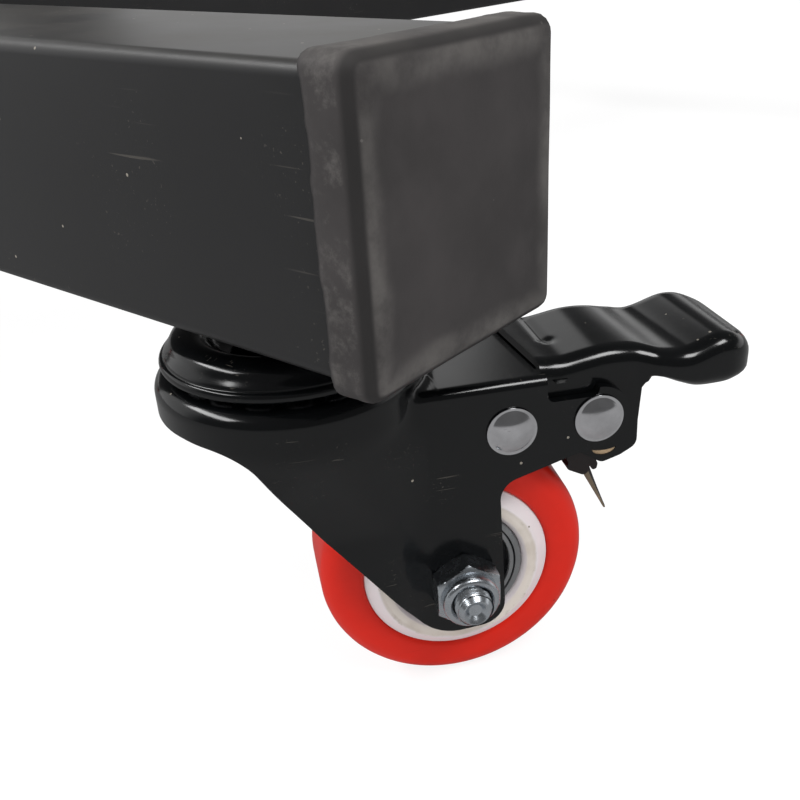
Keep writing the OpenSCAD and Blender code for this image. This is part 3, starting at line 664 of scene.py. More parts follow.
def effect(nodes, name, vector, output, **values):
    """Places a shared effect with its own values and returns its output socket."""
    makers = {"Coat grain": coat_grain, "Mottling": mottling, "Scratches": scratches,
              "Specks": specks, "Settled dust": settled_dust}
    if name not in EFFECTS:
        EFFECTS[name] = makers[name]()
    node = nodes.add("ShaderNodeGroup", node_tree=EFFECTS[name])
    nodes.tree.links.new(vector, node.inputs["Vector"])
    for key, value in values.items():
        node.inputs[key].default_value = value
    return node.outputs[output]


def finish(name, colour, worn, rough, spread=0.08, metallic=0.0, specular=0.5, grain=900.0,
           depth=0.02, mottle=60.0, contrast=0.6, marks=0.0, dots=0.0, dust=0.0, dust_colour=None,
           coat=0.0, extra=None):
    """A material whose colour, roughness and bump come from the shared effects.

    Colour and worn are blended by the mottling; marks, dots and dust lay dust_colour over them.
    extra adds more to the colour: it takes the nodes, the coordinates and the colour so far.
    """
    material = bpy.data.materials.new(name)
    material.use_nodes = True
    nodes = Nodes(material.node_tree)
    shader = material.node_tree.nodes["Principled BSDF"]
    where = nodes.add("ShaderNodeTexCoord").outputs["Object"]
    cloud = effect(nodes, "Mottling", where, "Amount", Scale=mottle, Contrast=contrast)
    surface = nodes.blend(cloud, (*colour, 1), (*worn, 1))
    spots = []
    if marks:
        spots.append(effect(nodes, "Scratches", where, "Mask", Scale=mottle, Amount=marks))
    if dots:
        spots.append(effect(nodes, "Specks", where, "Mask", Scale=240.0, Amount=dots, Size=0.09))
    if dust:
        spots.append(effect(nodes, "Settled dust", where, "Mask", Scale=mottle, Amount=dust))
    for spot in spots:
        surface = nodes.blend(spot, surface, (*(dust_colour or worn), 1))
    if extra:
        surface = extra(nodes, where, surface)
    gloss = nodes.plus(nodes.times(nodes.minus(cloud, 0.5), 2 * spread), rough)
    for spot in spots[-1:] if dust else []:
        gloss = nodes.plus(gloss, nodes.times(spot, 0.3))
    height = effect(nodes, "Coat grain", where, "Height", Scale=grain)
    bump = nodes.add("ShaderNodeBump", {"Height": height, "Strength": 1.0, "Distance": depth * MM})
    links = material.node_tree.links
    links.new(surface, shader.inputs["Base Color"])
    links.new(gloss, shader.inputs["Roughness"])
    links.new(bump.outputs["Normal"], shader.inputs["Normal"])
    shader.inputs["Metallic"].default_value = metallic
    shader.inputs["Specular IOR Level"].default_value = specular
    shader.inputs["Coat Weight"].default_value = coat
    return material


def darker(colour, share):
    """A colour with its brightness scaled."""
    return tuple(c * share for c in colour)


def dust_and_fillet_shade(nodes, where, surface):
    """Dust along the end caps' rounded edges and streaks down their sides, and painted shade in a
    dark band along the fillets between skirt and face.
    """
    colours = bpy.context.scene.stand_colours
    s = sizes(bpy.context.scene.stand_frame)
    half, middle_y, middle_z = s.tube / 2 + s.cap_wall, ARM_Y, ARM_Z
    axes = nodes.add("ShaderNodeSeparateXYZ", {"Vector": where}).outputs
    across = nodes.math("ABSOLUTE", nodes.minus(nodes.math("ABSOLUTE", axes["Y"]), middle_y))
    upright = nodes.math("ABSOLUTE", nodes.minus(axes["Z"], middle_z))
    rim = nodes.most(across, upright)
    wander = nodes.times(nodes.minus(nodes.noise(where, 70.0, 4.0), 0.5), 0.006)
    edge = nodes.plus(rim, wander)
    inner, outer = (half - s.cap_edge - 4.5) * MM, (half - s.cap_edge + 0.3) * MM
    ridge = nodes.times(nodes.ramp(edge, inner, outer),
                        nodes.ramp(rim, (half - 1.4) * MM, (half - 2.6) * MM))
    normal = nodes.add("ShaderNodeNewGeometry").outputs["Normal"]
    facing = nodes.math("ABSOLUTE", nodes.add("ShaderNodeSeparateXYZ",
                                              {"Vector": normal}).outputs["X"])
    # Painted shade: a dark band round the fillet between each cap's skirt and face stands in for
    # the dark reflection there.
    fillet = nodes.times(nodes.ramp(facing, 0.18, 0.5), nodes.ramp(facing, 0.97, 0.8))
    dark = nodes.blend(nodes.times(fillet, 0.62), surface, (*darker(colours.cap, 0.22), 1))
    patch = nodes.ramp(nodes.noise(where, 60.0, 6.0, 0.7), 0.3, 0.66)
    on_face = nodes.ramp(facing, 0.8, 0.97)
    dusty = nodes.times(nodes.times(ridge, on_face), patch)
    marked = nodes.blend(nodes.times(dusty, 0.62), dark, (*colours.cap_dust, 1))
    blotch = nodes.ramp(nodes.noise(where, 26.0, 4.0, 0.6), 0.42, 0.62)
    worn = nodes.times(nodes.times(blotch, on_face), 0.4)
    brown = nodes.blend(worn, marked, (*darker(colours.cap, 0.62), 1))
    skirt = nodes.times(nodes.ramp(facing, 0.3, 0.1),
                        nodes.ramp(nodes.noise(where, 130.0, 5.0, 0.75), 0.45, 0.7))
    return nodes.blend(nodes.times(skirt, 0.5), brown, (*colours.cap_dust, 1))


def soiled(nodes, where, surface):
    """Cream grime on the hubs' bosses, with brown smears at their edges."""
    colours = bpy.context.scene.stand_colours
    s = sizes(bpy.context.scene.stand_castors)
    axle_z = JOINTS["wheel_spin_1"]["pos_m"][2] - JOINTS["swivel_1"]["pos_m"][2]
    centre = nodes.add("ShaderNodeVectorMath", {0: where, 1: (s.trail * MM, 0, axle_z)},
                       operation="SUBTRACT").outputs[0]
    flat = nodes.add("ShaderNodeVectorMath", {0: centre, 1: (1, 0, 1)},
                     operation="MULTIPLY").outputs[0]
    radius = nodes.add("ShaderNodeVectorMath", {0: flat}, operation="LENGTH").outputs["Value"]
    wander = nodes.times(nodes.minus(nodes.noise(where, 160.0, 5.0), 0.5), 0.0016)
    edge = nodes.plus(radius, wander)
    boss, seat = s.boss_d / 2 * MM, s.bearing_od / 2 * MM
    cream = nodes.times(nodes.ramp(edge, boss + 0.3 * MM, boss - 0.5 * MM),
                        nodes.ramp(radius, seat + 0.6 * MM, seat + 1.6 * MM))
    creamy = nodes.blend(nodes.times(cream, 0.8), surface, (*colours.cream, 1))
    ridge = nodes.times(nodes.ramp(edge, boss - 1.3 * MM, boss - 0.2 * MM),
                        nodes.ramp(edge, boss + 0.5 * MM, boss + 0.1 * MM))
    cloud = nodes.ramp(nodes.noise(where, 210.0, 6.0, 0.75), 0.5, 0.72)
    smear = nodes.times(cream, nodes.ramp(nodes.noise(where, 70.0, 4.0), 0.46, 0.66))
    mask = nodes.most(nodes.times(ridge, cloud), nodes.times(smear, 0.45))
    return nodes.blend(nodes.times(mask, 0.6), creamy, (*colours.grime, 1))


def make_finishes():
    """All finishes, by slot name."""
    c = bpy.context.scene.stand_colours
    return {
        "powder_satin": finish("Satin powder coat", c.satin, darker(c.satin, 1.5), 0.42, 0.04,
                               specular=0.4, grain=1400.0, depth=0.016, mottle=26.0,
                               contrast=0.5, marks=0.2, dots=0.35, dust=0.10,
                               dust_colour=c.dust),
        "powder_gloss": finish("Gloss black paint", c.gloss, darker(c.gloss, 1.6), 0.16, 0.05,
                               specular=0.42, grain=420.0, depth=0.010, mottle=45.0, marks=0.25,
                               dots=0.6, dust_colour=c.dust),
        "cap_rubber": finish("End cap rubber", c.cap, darker(c.cap, 1.7), 0.72, 0.06,
                             grain=800.0, depth=0.05, mottle=42.0, contrast=0.9, dots=0.2,
                             dust=0.5, dust_colour=c.cap_dust, extra=dust_and_fillet_shade),
        "grip_rubber": finish("Grip rubber", c.grip, darker(c.grip, 1.8), 0.75, 0.06,
                              grain=1200.0, depth=0.05, mottle=60.0, dust=0.15,
                              dust_colour=c.dust),
        "nickel": finish("Polished nickel", c.nickel, darker(c.nickel, 0.7), 0.14, 0.05,
                         metallic=1.0, grain=200.0, depth=0.012, mottle=150.0, contrast=0.9,
                         marks=0.8, dust_colour=darker(c.nickel, 0.3)),
        "zinc": finish("Bright zinc", c.zinc, darker(c.zinc, 0.75), 0.26, 0.07, metallic=1.0,
                       grain=900.0, depth=0.012, mottle=260.0, contrast=0.9, marks=0.4,
                       dust_colour=darker(c.zinc, 0.35)),
        "bearing_steel": finish("Bearing steel", c.steel, darker(c.steel, 0.7), 0.28, 0.06,
                                metallic=1.0, grain=900.0, depth=0.01, mottle=220.0),
        "pin_steel": finish("Turned steel", c.steel, darker(c.steel, 0.85), 0.26, 0.05,
                            metallic=1.0, grain=1500.0, depth=0.01, mottle=90.0, marks=0.4,
                            dust_colour=darker(c.steel, 0.4)),
        "polyurethane": finish("Red polyurethane", c.tread, darker(c.tread, 0.84), 0.34, 0.06,
                               specular=0.2, grain=300.0, depth=0.02, mottle=70.0, marks=0.12,
                               dots=0.2, dust_colour=darker(c.tread, 0.35)),
        "hub_plastic": finish("Hub plastic", c.hub, darker(c.hub, 0.9), 0.42, 0.08, grain=500.0,
                              depth=0.02, mottle=120.0, dots=0.5,
                              dust_colour=darker(c.grime, 0.5), extra=soiled),
        "bronze": finish("Sintered bronze", c.bronze, darker(c.bronze, 0.7), 0.34, 0.06,
                         metallic=1.0, grain=1800.0, depth=0.02, mottle=200.0),
        "nylon": finish("Nylon insert", c.nylon, darker(c.nylon, 1.5), 0.4, 0.05, mottle=200.0),
        "grit": finish("Packed grit", c.grit, darker(c.grit, 0.6), 0.8, 0.05, grain=900.0,
                       depth=0.2, mottle=420.0, contrast=0.8),
        "blade": finish("Soiled blade steel", c.blade, darker(c.blade, 0.5), 0.4, 0.08,
                        metallic=0.7, grain=900.0, depth=0.02, mottle=160.0, contrast=0.9),
        # The shoe colour carries a reddish tint that is a painted reflection of the red tread; the
        # blades' edge strips and tabs use it too.
        "shoe": finish("Moulded shoe", c.shoe, darker(c.shoe, 2.0), 0.5, 0.08, grain=700.0,
                       depth=0.04, mottle=160.0),
    }


FINISHES = {}


def looks(*slots):
    """The materials of some slots, made once."""
    if not FINISHES:
        FINISHES.update(make_finishes())
    return [FINISHES[slot] for slot in slots]


# ---- frame and end caps ----

def arm_shape(s, lo, hi):
    """A square tube between the ends of a box, along its longer side."""
    shape = Shape().pipe(square(s.tube, s.tube_corner, 10),
                         square(s.tube - 2 * s.tube_wall, 0.6, 10), 0, (hi - lo)[0] / MM)
    at = (lo + hi) / 2 / MM
    turn = Matrix(((0, 0, 1), (1, 0, 0), (0, 1, 0))).to_4x4()
    return Shape().add(shape, shift(lo.x / MM, at.y, at.z) @ turn)


def cap_lip(s, along, side):
    """How far the cap's cut lip wanders at a distance along its perimeter."""
    seed = Vector((along * 0.055, side * 7.3, 1.7))
    ragged = max(0.0, noise.noise(seed * 3.1) - 0.25) * 2.4
    return s.cap_wave * (1.3 * noise.noise(seed) - ragged)


def cap_shape(s, side):
    """A slip-over cap: its lip at z = 0, its face up, with a wandering cut lip."""
    outer = s.tube + 2 * s.cap_wall
    depth = s.cap_skirt + s.cap_wall
    rim = resampled(square(outer, s.cap_edge, 8) + [square(outer, s.cap_edge, 8)[0]], 1.1)[:-1]
    run = np.arange(len(rim)) * 1.1
    lips = [cap_lip(s, r, side) for r in run]

    def ring(inset, height, lift=0.0):
        """A ring inset from the rim; lift is the share of the lip's wander that it takes."""
        r = max(s.cap_edge - inset, 0.3)
        line = square(outer - 2 * inset, r, 8)
        line = np.array(line + [line[0]])
        walk = np.concatenate([[0], np.cumsum(np.linalg.norm(np.diff(line, axis=0), axis=1))])
        at = np.linspace(0, walk[-1], len(rim) + 1)[:-1]
        x, y = np.interp(at, walk, line[:, 0]), np.interp(at, walk, line[:, 1])
        bulge = [0.16 * noise.noise(Vector((a * 0.07, b * 0.07, height * 0.2 + side)))
                 for a, b in zip(x, y)]
        size = 1 + np.array(bulge) / (outer / 2)
        return [(a * k, b * k, height + lift * w) for a, b, k, w in zip(x, y, size, lips)]

    rows = [ring(s.cap_wall, depth - s.cap_wall), ring(s.cap_wall - 0.05, 2.0),
            ring(s.cap_wall - 0.05, 0.4, 1.0), ring(1.6, 0.0, 1.0), ring(0.9, -0.1, 1.0),
            ring(0.35, 0.1, 1.0), ring(0.05, 0.7, 1.0), ring(0.0, 2.0, 0.5)]
    rows += [ring(0.0, h) for h in (3.4, 5.2, depth - s.cap_edge)]
    for a in (18, 36, 54, 72, 90):
        t = math.radians(a)
        rows.append(ring(s.cap_edge * (1 - math.cos(t)),
                         depth - s.cap_edge * (1 - math.sin(t))))
    rows += [ring(s.cap_edge + inset, depth - 0.25 * share)
             for inset, share in ((4, 0.4), (9, 0.8), (16, 1.0), (24, 1.0))]
    shape = Shape().rows(rows, ring=True)
    return shape.face(rows[0]).face(rows[-1])


class STAND_OT_frame(Operator):
    """Make the arms, the spine, the gussets and their welds."""
    bl_idname = "stand.frame"
    bl_label = "Frame"

    def execute(self, context):
        s = sizes(context.scene.stand_frame)
        for name in ("near_arm", "far_arm"):
            single(name, arm_shape(s, *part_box(name)), "powder_satin", "root")
        lo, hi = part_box("spine")
        centre = (lo + hi) / 2 / MM
        tube = Shape().pipe(square(s.tube, s.tube_corner, 10),
                            square(s.tube - 2 * s.tube_wall, 0.6, 10), lo.y / MM, hi.y / MM)
        spine = Shape().add(tube,
                            shift(centre.x, 0, centre.z) @ Matrix.Rotation(-math.pi / 2, 4, "X"))
        single("spine", spine, "powder_satin", "root")
        inner, half, z = hi.y / MM, s.tube / 2, centre.z
        corner_r = s.tube_corner
        plates, beads = Shape(), Shape()
        for sx in (-1, 1):
            for sy in (-1, 1):
                x0, y0 = sx * half, sy * inner
                flat = rounded([(x0, y0), (x0 + sx * s.gusset_leg, y0, 2),
                                (x0, y0 - sy * s.gusset_leg, 2)], 4)
                plates.prism(flat, z - s.gusset_t / 2, z + s.gusset_t / 2)
                for dz in (-1, 1):
                    edge = z + dz * (s.gusset_t / 2 + 0.6)
                    along_x = [(x0 + sx * 3, y0 - sy * 0.6, edge),
                               (x0 + sx * (s.gusset_leg - 3), y0 - sy * 0.6, edge)]
                    along_y = [(x0 + sx * 0.6, y0 - sy * 3, edge),
                               (x0 + sx * 0.6, y0 - sy * (s.gusset_leg - 3), edge)]
                    beads.add(weld(along_x, 0.7 * s.weld)).add(weld(along_y, 0.7 * s.weld))
        for sy in (-1, 1):
            loop = [(x, sy * (inner - 0.6), z + y) for x, y in square(s.tube, corner_r, 4)]
            beads.add(weld(loop, s.weld, closed=True))
        single("gussets", plates, "powder_satin", "root", bevel=0.7)
        single("frame_welds", beads, "powder_satin", "root", nodes=[], sharp=80)
        return {"FINISHED"}


class STAND_OT_end_caps(Operator):
    """Make the four rubber end caps."""
    bl_idname = "stand.end_caps"
    bl_label = "End caps"

    def execute(self, context):
        s = sizes(context.scene.stand_frame)
        caps = Shape()
        for name in ("near_arm", "far_arm"):
            lo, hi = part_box(name)
            centre = (lo + hi) / 2 / MM
            for sx in (-1, 1):
                end = (hi.x if sx > 0 else lo.x) / MM - sx * s.cap_skirt
                turn = Matrix(((0, 0, sx), (sx, 0, 0), (0, 1, 0))).to_4x4()
                caps.add(cap_shape(s, sx + len(caps.faces) * 0.001),
                         shift(end, centre.y, centre.z) @ turn)
        single("end_caps", caps, "cap_rubber", "root", sharp=50)
        return {"FINISHED"}


# ---- castor heads ----

def each_castor(shape):
    """Four placed copies of a shape drawn in a castor's frame."""
    made = Shape()
    for k in CASTORS:
        made.add(shape, in_mm(castor_frame(k)))
    return made


def cup_profile(s):
    """Section of the ball race cup: recess, crown, rolled bead and lip."""
    lip, recess = s.cup_d / 2, s.recess_d / 2
    crown, low = -s.crown_drop, -s.lip_drop
    middle = (lip + recess) / 2
    top = through([(recess - 1.2, -s.floor_drop), (recess + 0.7, -s.floor_drop + 1.2),
                   (recess + 2.2, crown - 1.3), (middle - 2.2, crown), (middle + 0.5, crown - 0.1),
                   (middle + 3.2, crown - 1.2), (lip - 2.5, crown - 3.0), (lip - 1.35, crown - 4.5),
                   (lip - 1.1, crown - 5.2), (lip - 0.35, crown - 5.6), (lip, crown - 6.4),
                   (lip - 0.05, low + 0.6), (lip - 0.6, low)], 4)
    under = through([(lip - 2.2, low), (lip - 2.9, low + 1.2), (middle + 2, crown - 3.4),
                     (middle - 2, crown - 2.7), (recess - 0.8, -s.floor_drop - 2.4)], 4)
    hole = s.kingpin_d / 2
    return ([(hole, -s.floor_drop)] + [tuple(p) for p in top] + [tuple(p) for p in under]
            + [(hole, -s.floor_drop - 2.4)])


def stem_shape(s):
    """Threaded stem, hexagon with turned corners, kingpin and its riveted head."""
    foot = -(s.dome_drop + s.sheet + 3.3)
    shape = hexagon(s.stem_hex, -s.floor_drop, 0, 0.94, 1.1, bore=0.01)
    shape.add(thread(s.stem_d, 1.75, 0, s.stem_length))
    shape.turned([(0, foot), (s.kingpin_head_d / 2 - 2, foot), (s.kingpin_head_d / 2, foot + 1.6),
                  (s.kingpin_head_d / 2 - 0.3, foot + 3), (s.kingpin_d / 2, foot + 3),
                  (s.kingpin_d / 2, -s.floor_drop), (0, -s.floor_drop)], 48)
    return shape.turned([(0, s.stem_length), (s.stem_d / 2 - 1.2, s.stem_length)], 32)


class STAND_OT_castor_heads(Operator):
    """Make the stems and the ball race cups."""
    bl_idname = "stand.castor_heads"
    bl_label = "Castor heads"

    def execute(self, context):
        s = sizes(context.scene.stand_castors)
        cup = Shape().turned(cup_profile(s), 96, loop=True)
        single("head_cups", each_castor(cup), "powder_gloss", "root", sharp=50)
        single("castor_stems", each_castor(stem_shape(s)), "powder_gloss", "root", sharp=24)
        return {"FINISHED"}


# ---- fork ----

def rounded_step(a, b, r):
    """Distance from a quarter space whose edge is rounded to r."""
    return (np.minimum(np.maximum(a + r, b + r), 0)
            + np.hypot(np.maximum(a + r, 0), np.maximum(b + r, 0)) - r)


def joined(a, b, k):
    """Union of two distances with a fillet of about k."""
    h = np.maximum(k - np.abs(a - b), 0) / k
    return np.minimum(a, b) - h * h * k / 4


def fork_distance(s, u, v, z):
    """Distance from the outer face of the pressed fork: dome, flare and plates."""
    half, dome_r, shoulder = s.fork_width / 2, s.dome_d / 2, 4.2
    v = np.abs(v)
    fall = np.maximum((-(s.dome_drop + s.dome_rim) - z) / 34, 0)
    share = np.minimum((np.hypot(fall, 0.14) - 0.14) * 1.15, 1)
    width, reach = (half - 2) * share, 15 * share
    du = np.abs(u - 3 * share) - reach
    dv = v - width
    plan = (np.hypot(np.maximum(du, 0), np.maximum(dv, 0)) + np.minimum(np.maximum(du, dv), 0)
            - dome_r * (1 - share) - 2 * share)
    form = rounded_step(plan, z + s.dome_drop, shoulder)
    ease = lambda x: (x + np.hypot(x, 2.5)) / 2
    plate = v - half - 0.03 * ease(22 - u) - 0.07 * ease(9.5 - u)
    plate = rounded_step(plate, -u - 15, 6)
    slab = rounded_step(plate, z + s.platform_drop, 2.7)
    return joined(form, slab, 2.4 + 8 * smooth_step(-z, 24, 36))


def front_edge(s, axle_z):
    """The plates' front edge, from under the dome to the foot."""
    r, rim = s.foot_r, -(s.dome_drop + s.dome_rim)
    return rounded([(-s.dome_d / 2 - 4, rim + 1), (-15.2, rim - 1.2, 14),
                    (2.5, axle_z + 22.3, 30), (s.trail - r * 0.6, axle_z - r * 1.3, r),
                    (s.trail + r * 0.92, axle_z - r * 1.22)], 12, closed=False)


def rear_edge(s, axle_z):
    """The plates' outline from the bottom of the foot round to the platform's end."""
    r, rz, x2 = s.foot_r, -s.rivet_drop, s.rivet_1_x + s.rivet_pitch
    notch, end = rz + 6.4, x2 - 13.9
    line = rounded([(s.trail - r * 0.6, axle_z - r * 1.3),
                    (s.trail + r * 0.92, axle_z - r * 1.22, r * 0.55),
                    (s.trail + r * 0.82, rz - 15.8, 6), (x2 - 6, rz - s.ear_r * 1.12, 14),
                    (x2 + 1, rz - s.ear_r)], 8, closed=False)
    ear = [(x2 + s.ear_r * math.cos(t), rz + s.ear_r * math.sin(t))
           for t in np.linspace(-1.42, math.pi / 2, 22)]
    top = rounded([(x2, rz + s.ear_r), (x2, notch, 2), (end, notch, 2), (end, notch + 2)], 6,
                  closed=False)
    return line[1:-1] + ear + top[1:-1]


def column_line(s, origin, direction, low_edge, split, counts):
    """One column of the fork's skin: from the top's middle to the split, and on to its edge."""
    centre_z = -40.0
    angles = np.concatenate([np.linspace(90, 20, 160), np.linspace(19.8, -75, 240)[1:]])
    t = np.radians(angles)
    dr, dz = np.cos(t), np.sin(t)
    near, far = np.zeros_like(t), np.full_like(t, 190.0)
    for _ in range(34):
        mid = (near + far) / 2
        u = origin[0] + direction[0] * dr * mid
        v = origin[1] + direction[1] * dr * mid
        inside = fork_distance(s, u, v, centre_z + dz * mid) < 0
        near, far = np.where(inside, mid, near), np.where(inside, far, mid)
    reach, z = dr * near, centre_z + dz * near
    u = origin[0] + direction[0] * reach
    low = low_edge(u)
    over = z - low
    end = int(np.argmax(over < 0)) if (over < 0).any() else len(z) - 1
    share = over[end - 1] / (over[end - 1] - over[end])
    cut = [reach[end - 1] + share * (reach[end] - reach[end - 1]),
           z[end - 1] + share * (z[end] - z[end - 1])]
    line = np.vstack([np.stack([reach[:end], z[:end]], axis=1), cut])
    level = max(split, cut[1] + 0.02)
    turn = int(np.argmax(line[:, 1] < level))
    share = (line[turn - 1, 1] - level) / max(line[turn - 1, 1] - line[turn, 1], 1e-9)
    middle = line[turn - 1] + share * (line[turn] - line[turn - 1])
    parts = []
    for part, count in ((np.vstack([line[:turn], middle]), counts[0]),
                        (np.vstack([middle, line[turn:]]), counts[1])):
        step = np.diff(part, axis=0)
        size = np.linalg.norm(step, axis=1) + 1e-12
        bend = np.zeros(len(size))
        if len(size) > 1:
            heading = np.unwrap(np.arctan2(step[:, 1], step[:, 0]))
            bend[1:] = np.abs(np.diff(heading))
        run = np.concatenate([[0], np.cumsum(size + 5 * bend)])
        at = np.linspace(0, run[-1], count)
        parts.append(np.stack([np.interp(at, run, part[:, 0]), np.interp(at, run, part[:, 1])],
                              axis=1))
    rows = np.vstack([parts[0], parts[1][1:]])
    return [(origin[0] + direction[0] * r, origin[1] + direction[1] * r, h) for r, h in rows]


def fork_shape(s, axle_z):
    """The skin of the fork's outer face: the pressed top and flares, then the flat plates."""
    flat_from, flat_top = 30.0, -28.0
    platform_end = s.rivet_1_x + s.rivet_pitch - 13.9
    rim = -(s.dome_drop + s.dome_rim)
    edge = np.array(front_edge(s, axle_z))
    top_rows, low_rows = 52, 24

    def low_edge(u):
        line = np.interp(u, edge[:, 0], edge[:, 1])
        return np.where(u < flat_from + 0.01, np.minimum(rim, line), flat_top)

    half = []
    for a in np.linspace(180, 92, 44):
        t = math.radians(a)
        split = -21 - 6 * smooth_step(-a, -165, -110)
        half.append(column_line(s, (0, 0), (math.cos(t), -math.sin(t)), low_edge, split,
                                (top_rows, low_rows)))
    stations = np.concatenate([np.linspace(0, 20, 18)[:-1], np.linspace(20, flat_from, 16)])
    for u in stations:
        half.append(column_line(s, (u, 0), (0, -1), low_edge, -27.5, (top_rows, low_rows)))
    rear = []
    for u in np.concatenate([np.linspace(flat_from, 37, 10), np.linspace(38.5, platform_end, 12)]):
        flat = lambda x: np.full_like(x, flat_top)
        rear.append(column_line(s, (u, 0), (0, -1), flat, flat_top + 0.5, (top_rows, 2))[:top_rows])
    shape = Shape()
    for side in (1, -1):
        front = [[(x, side * y, z) for x, y, z in line] for line in half]
        back = [[(x, side * y, z) for x, y, z in line] for line in rear]
        back[0] = front[-1][:top_rows]
        shape.rows(front).rows(back)
        v = -side * s.fork_width / 2
        plate = [p for p in front[-1][top_rows - 1:]]
        foot = [(x, v, z) for x, z in edge if x > flat_from + 0.3][:-1]
        outline = [(x, v, z) for x, z in rear_edge(s, axle_z)]
        plate += foot + outline + [line[-1] for line in reversed(back[1:])]
        shape.face(plate)
    return shape


class STAND_OT_forks(Operator):
    """Make the castors' pressed forks."""
    bl_idname = "stand.forks"
    bl_label = "Forks"

    def execute(self, context):
        s = sizes(context.scene.stand_castors)
        drop = (JOINTS["wheel_spin_1"]["pos_m"][2] - JOINTS["swivel_1"]["pos_m"][2]) / MM
        on_every_castor("fork", fork_shape(s, drop), "powder_gloss", "castor", sharp=40,
                        sheet=s.sheet, bevel=0.45)
        return {"FINISHED"}


# ---- rivets, axle and nut ----

def axle_drop():
    """Height of the axle over the arm's underside, in millimetres."""
    return (JOINTS["wheel_spin_1"]["pos_m"][2] - JOINTS["swivel_1"]["pos_m"][2]) / MM


def facing(s, side, x, z, out=0.0):
    """Turns a shape drawn along +Z to stand on a fork plate, at X and Z, facing out."""
    turn = Matrix.Rotation(-side * math.pi / 2, 4, "X")
    return shift(x, side * (s.fork_width / 2 + out), z) @ turn


def rivet_shape(s):
    """The two rivets that carry the brake arm and the pedal."""
    r, h = s.rivet_d / 2, s.rivet_h
    ball = (r * r + h * h) / (2 * h)
    top = math.asin(r / ball)
    dome = [(ball * math.sin(t), h - ball + ball * math.cos(t))
            for t in np.linspace(top * 0.955, 0, 14)]
    profile = [(r * 0.4, -0.2), (r - 0.35, -0.05), (r - 0.05, 0.15), (r, 0.4), (r - 0.1, 0.62)]
    profile += dome[1:-1] + [(0.01, h)]
    head = Shape().turned(profile, 64)
    shank = Shape().turned([(0.01, 0), (s.shank_d / 2, 0), (s.shank_d / 2, s.fork_width),
                            (0.01, s.fork_width)], 40)
    shape = Shape()
    for x in (s.rivet_1_x, s.rivet_1_x + s.rivet_pitch):
        for side in (-1, 1):
            shape.add(head, facing(s, side, x, -s.rivet_drop))
        shape.add(shank, facing(s, -1, x, -s.rivet_drop, -s.fork_width))
    return shape


def locking_nut(s):
    """A hexagon nut that ends in a rounded collar around a nylon ring."""
    flat, top, r = s.axle_hex, s.nut_h, s.axle_d / 2
    shape = hexagon(flat, 0, 0.70 * top, 1.02, 0.97, bore=r)
    rim = flat / 2 - 0.8
    collar = [(r + 0.9, 0.60 * top), (rim - 0.1, 0.62 * top), (rim - 0.1, 0.76 * top)]
    collar += [(rim - 1.3 + 1.3 * math.cos(t), top - 1.5 + 1.5 * math.sin(t))
               for t in np.radians((0, 15, 30, 45, 60, 75, 90))]
    collar += [(r + 1.0, top), (r + 0.6, top - 0.2), (r + 0.4, top - 0.7), (r + 0.45, top - 1.3),
               (r + 0.9, 0.60 * top)]
    shape.turned(collar, 96)
    ring = [(r + 0.02, 0.6 * top), (r + 0.6, 0.6 * top), (r + 0.6, top - 1.1),
            (r + 0.4, top - 0.95), (r + 0.1, top - 1.1), (r + 0.02, 0.6 * top)]
    return shape.turned(ring, 64, tint=1)


def axle_shape(s, axle_z):
    """The axle bolt with its head behind and its locking nut in front."""
    r, out = s.axle_d / 2, s.nut_h + s.tail
    front = facing(s, -1, s.trail, axle_z)
    shape = Shape().add(locking_nut(s), front @ Matrix.Rotation(math.radians(30), 4, "Z"))
    shape.add(thread(s.axle_d, s.axle_pitch, -s.sheet, out - 1.3, steps=48, per_turn=10), front)
    tip = Shape().turned([(0.01, out - 1.5), (r * 0.36, out - 1.4), (r * 0.5, out - 0.75),
                          (r * 0.64, out - 0.12), (r * 0.7, out), (r * 0.75, out - 0.08),
                          (r * 0.92, out - 1.3)], 48)
    shape.add(tip, front)
    body = Shape().turned([(0.01, -s.fork_width), (r, -s.fork_width), (r, -s.sheet),
                           (0.01, -s.sheet)], 40)
    shape.add(body, front)
    head = hexagon(s.axle_hex, 0, s.head_h, 1.2, 0.97, bore=0.01)
    ring = Shape().turned([(r * 1.1, s.head_h - 0.35), (r * 1.1, s.head_h), (0.01, s.head_h)], 48)
    back = facing(s, 1, s.trail, axle_z)
    return shape.add(head, back).add(ring, back)


class STAND_OT_fasteners(Operator):
    """Make the castors' rivets and axle bolts."""
    bl_idname = "stand.fasteners"
    bl_label = "Rivets and axles"

    def execute(self, context):
        s = sizes(context.scene.stand_castors)
        on_every_castor("rivets", rivet_shape(s), "nickel", "castor", sharp=55)
        on_every_castor("axle_bolt", axle_shape(s, axle_drop()), ("zinc", "nylon"), "castor",
                        sharp=24)
        return {"FINISHED"}


# ---- brake ----

def across(shape):
    """Turns a shape drawn in X and Y, along Z, to X and Z, along -Y."""
    return Shape().add(shape, Matrix.Rotation(math.pi / 2, 4, "X"))


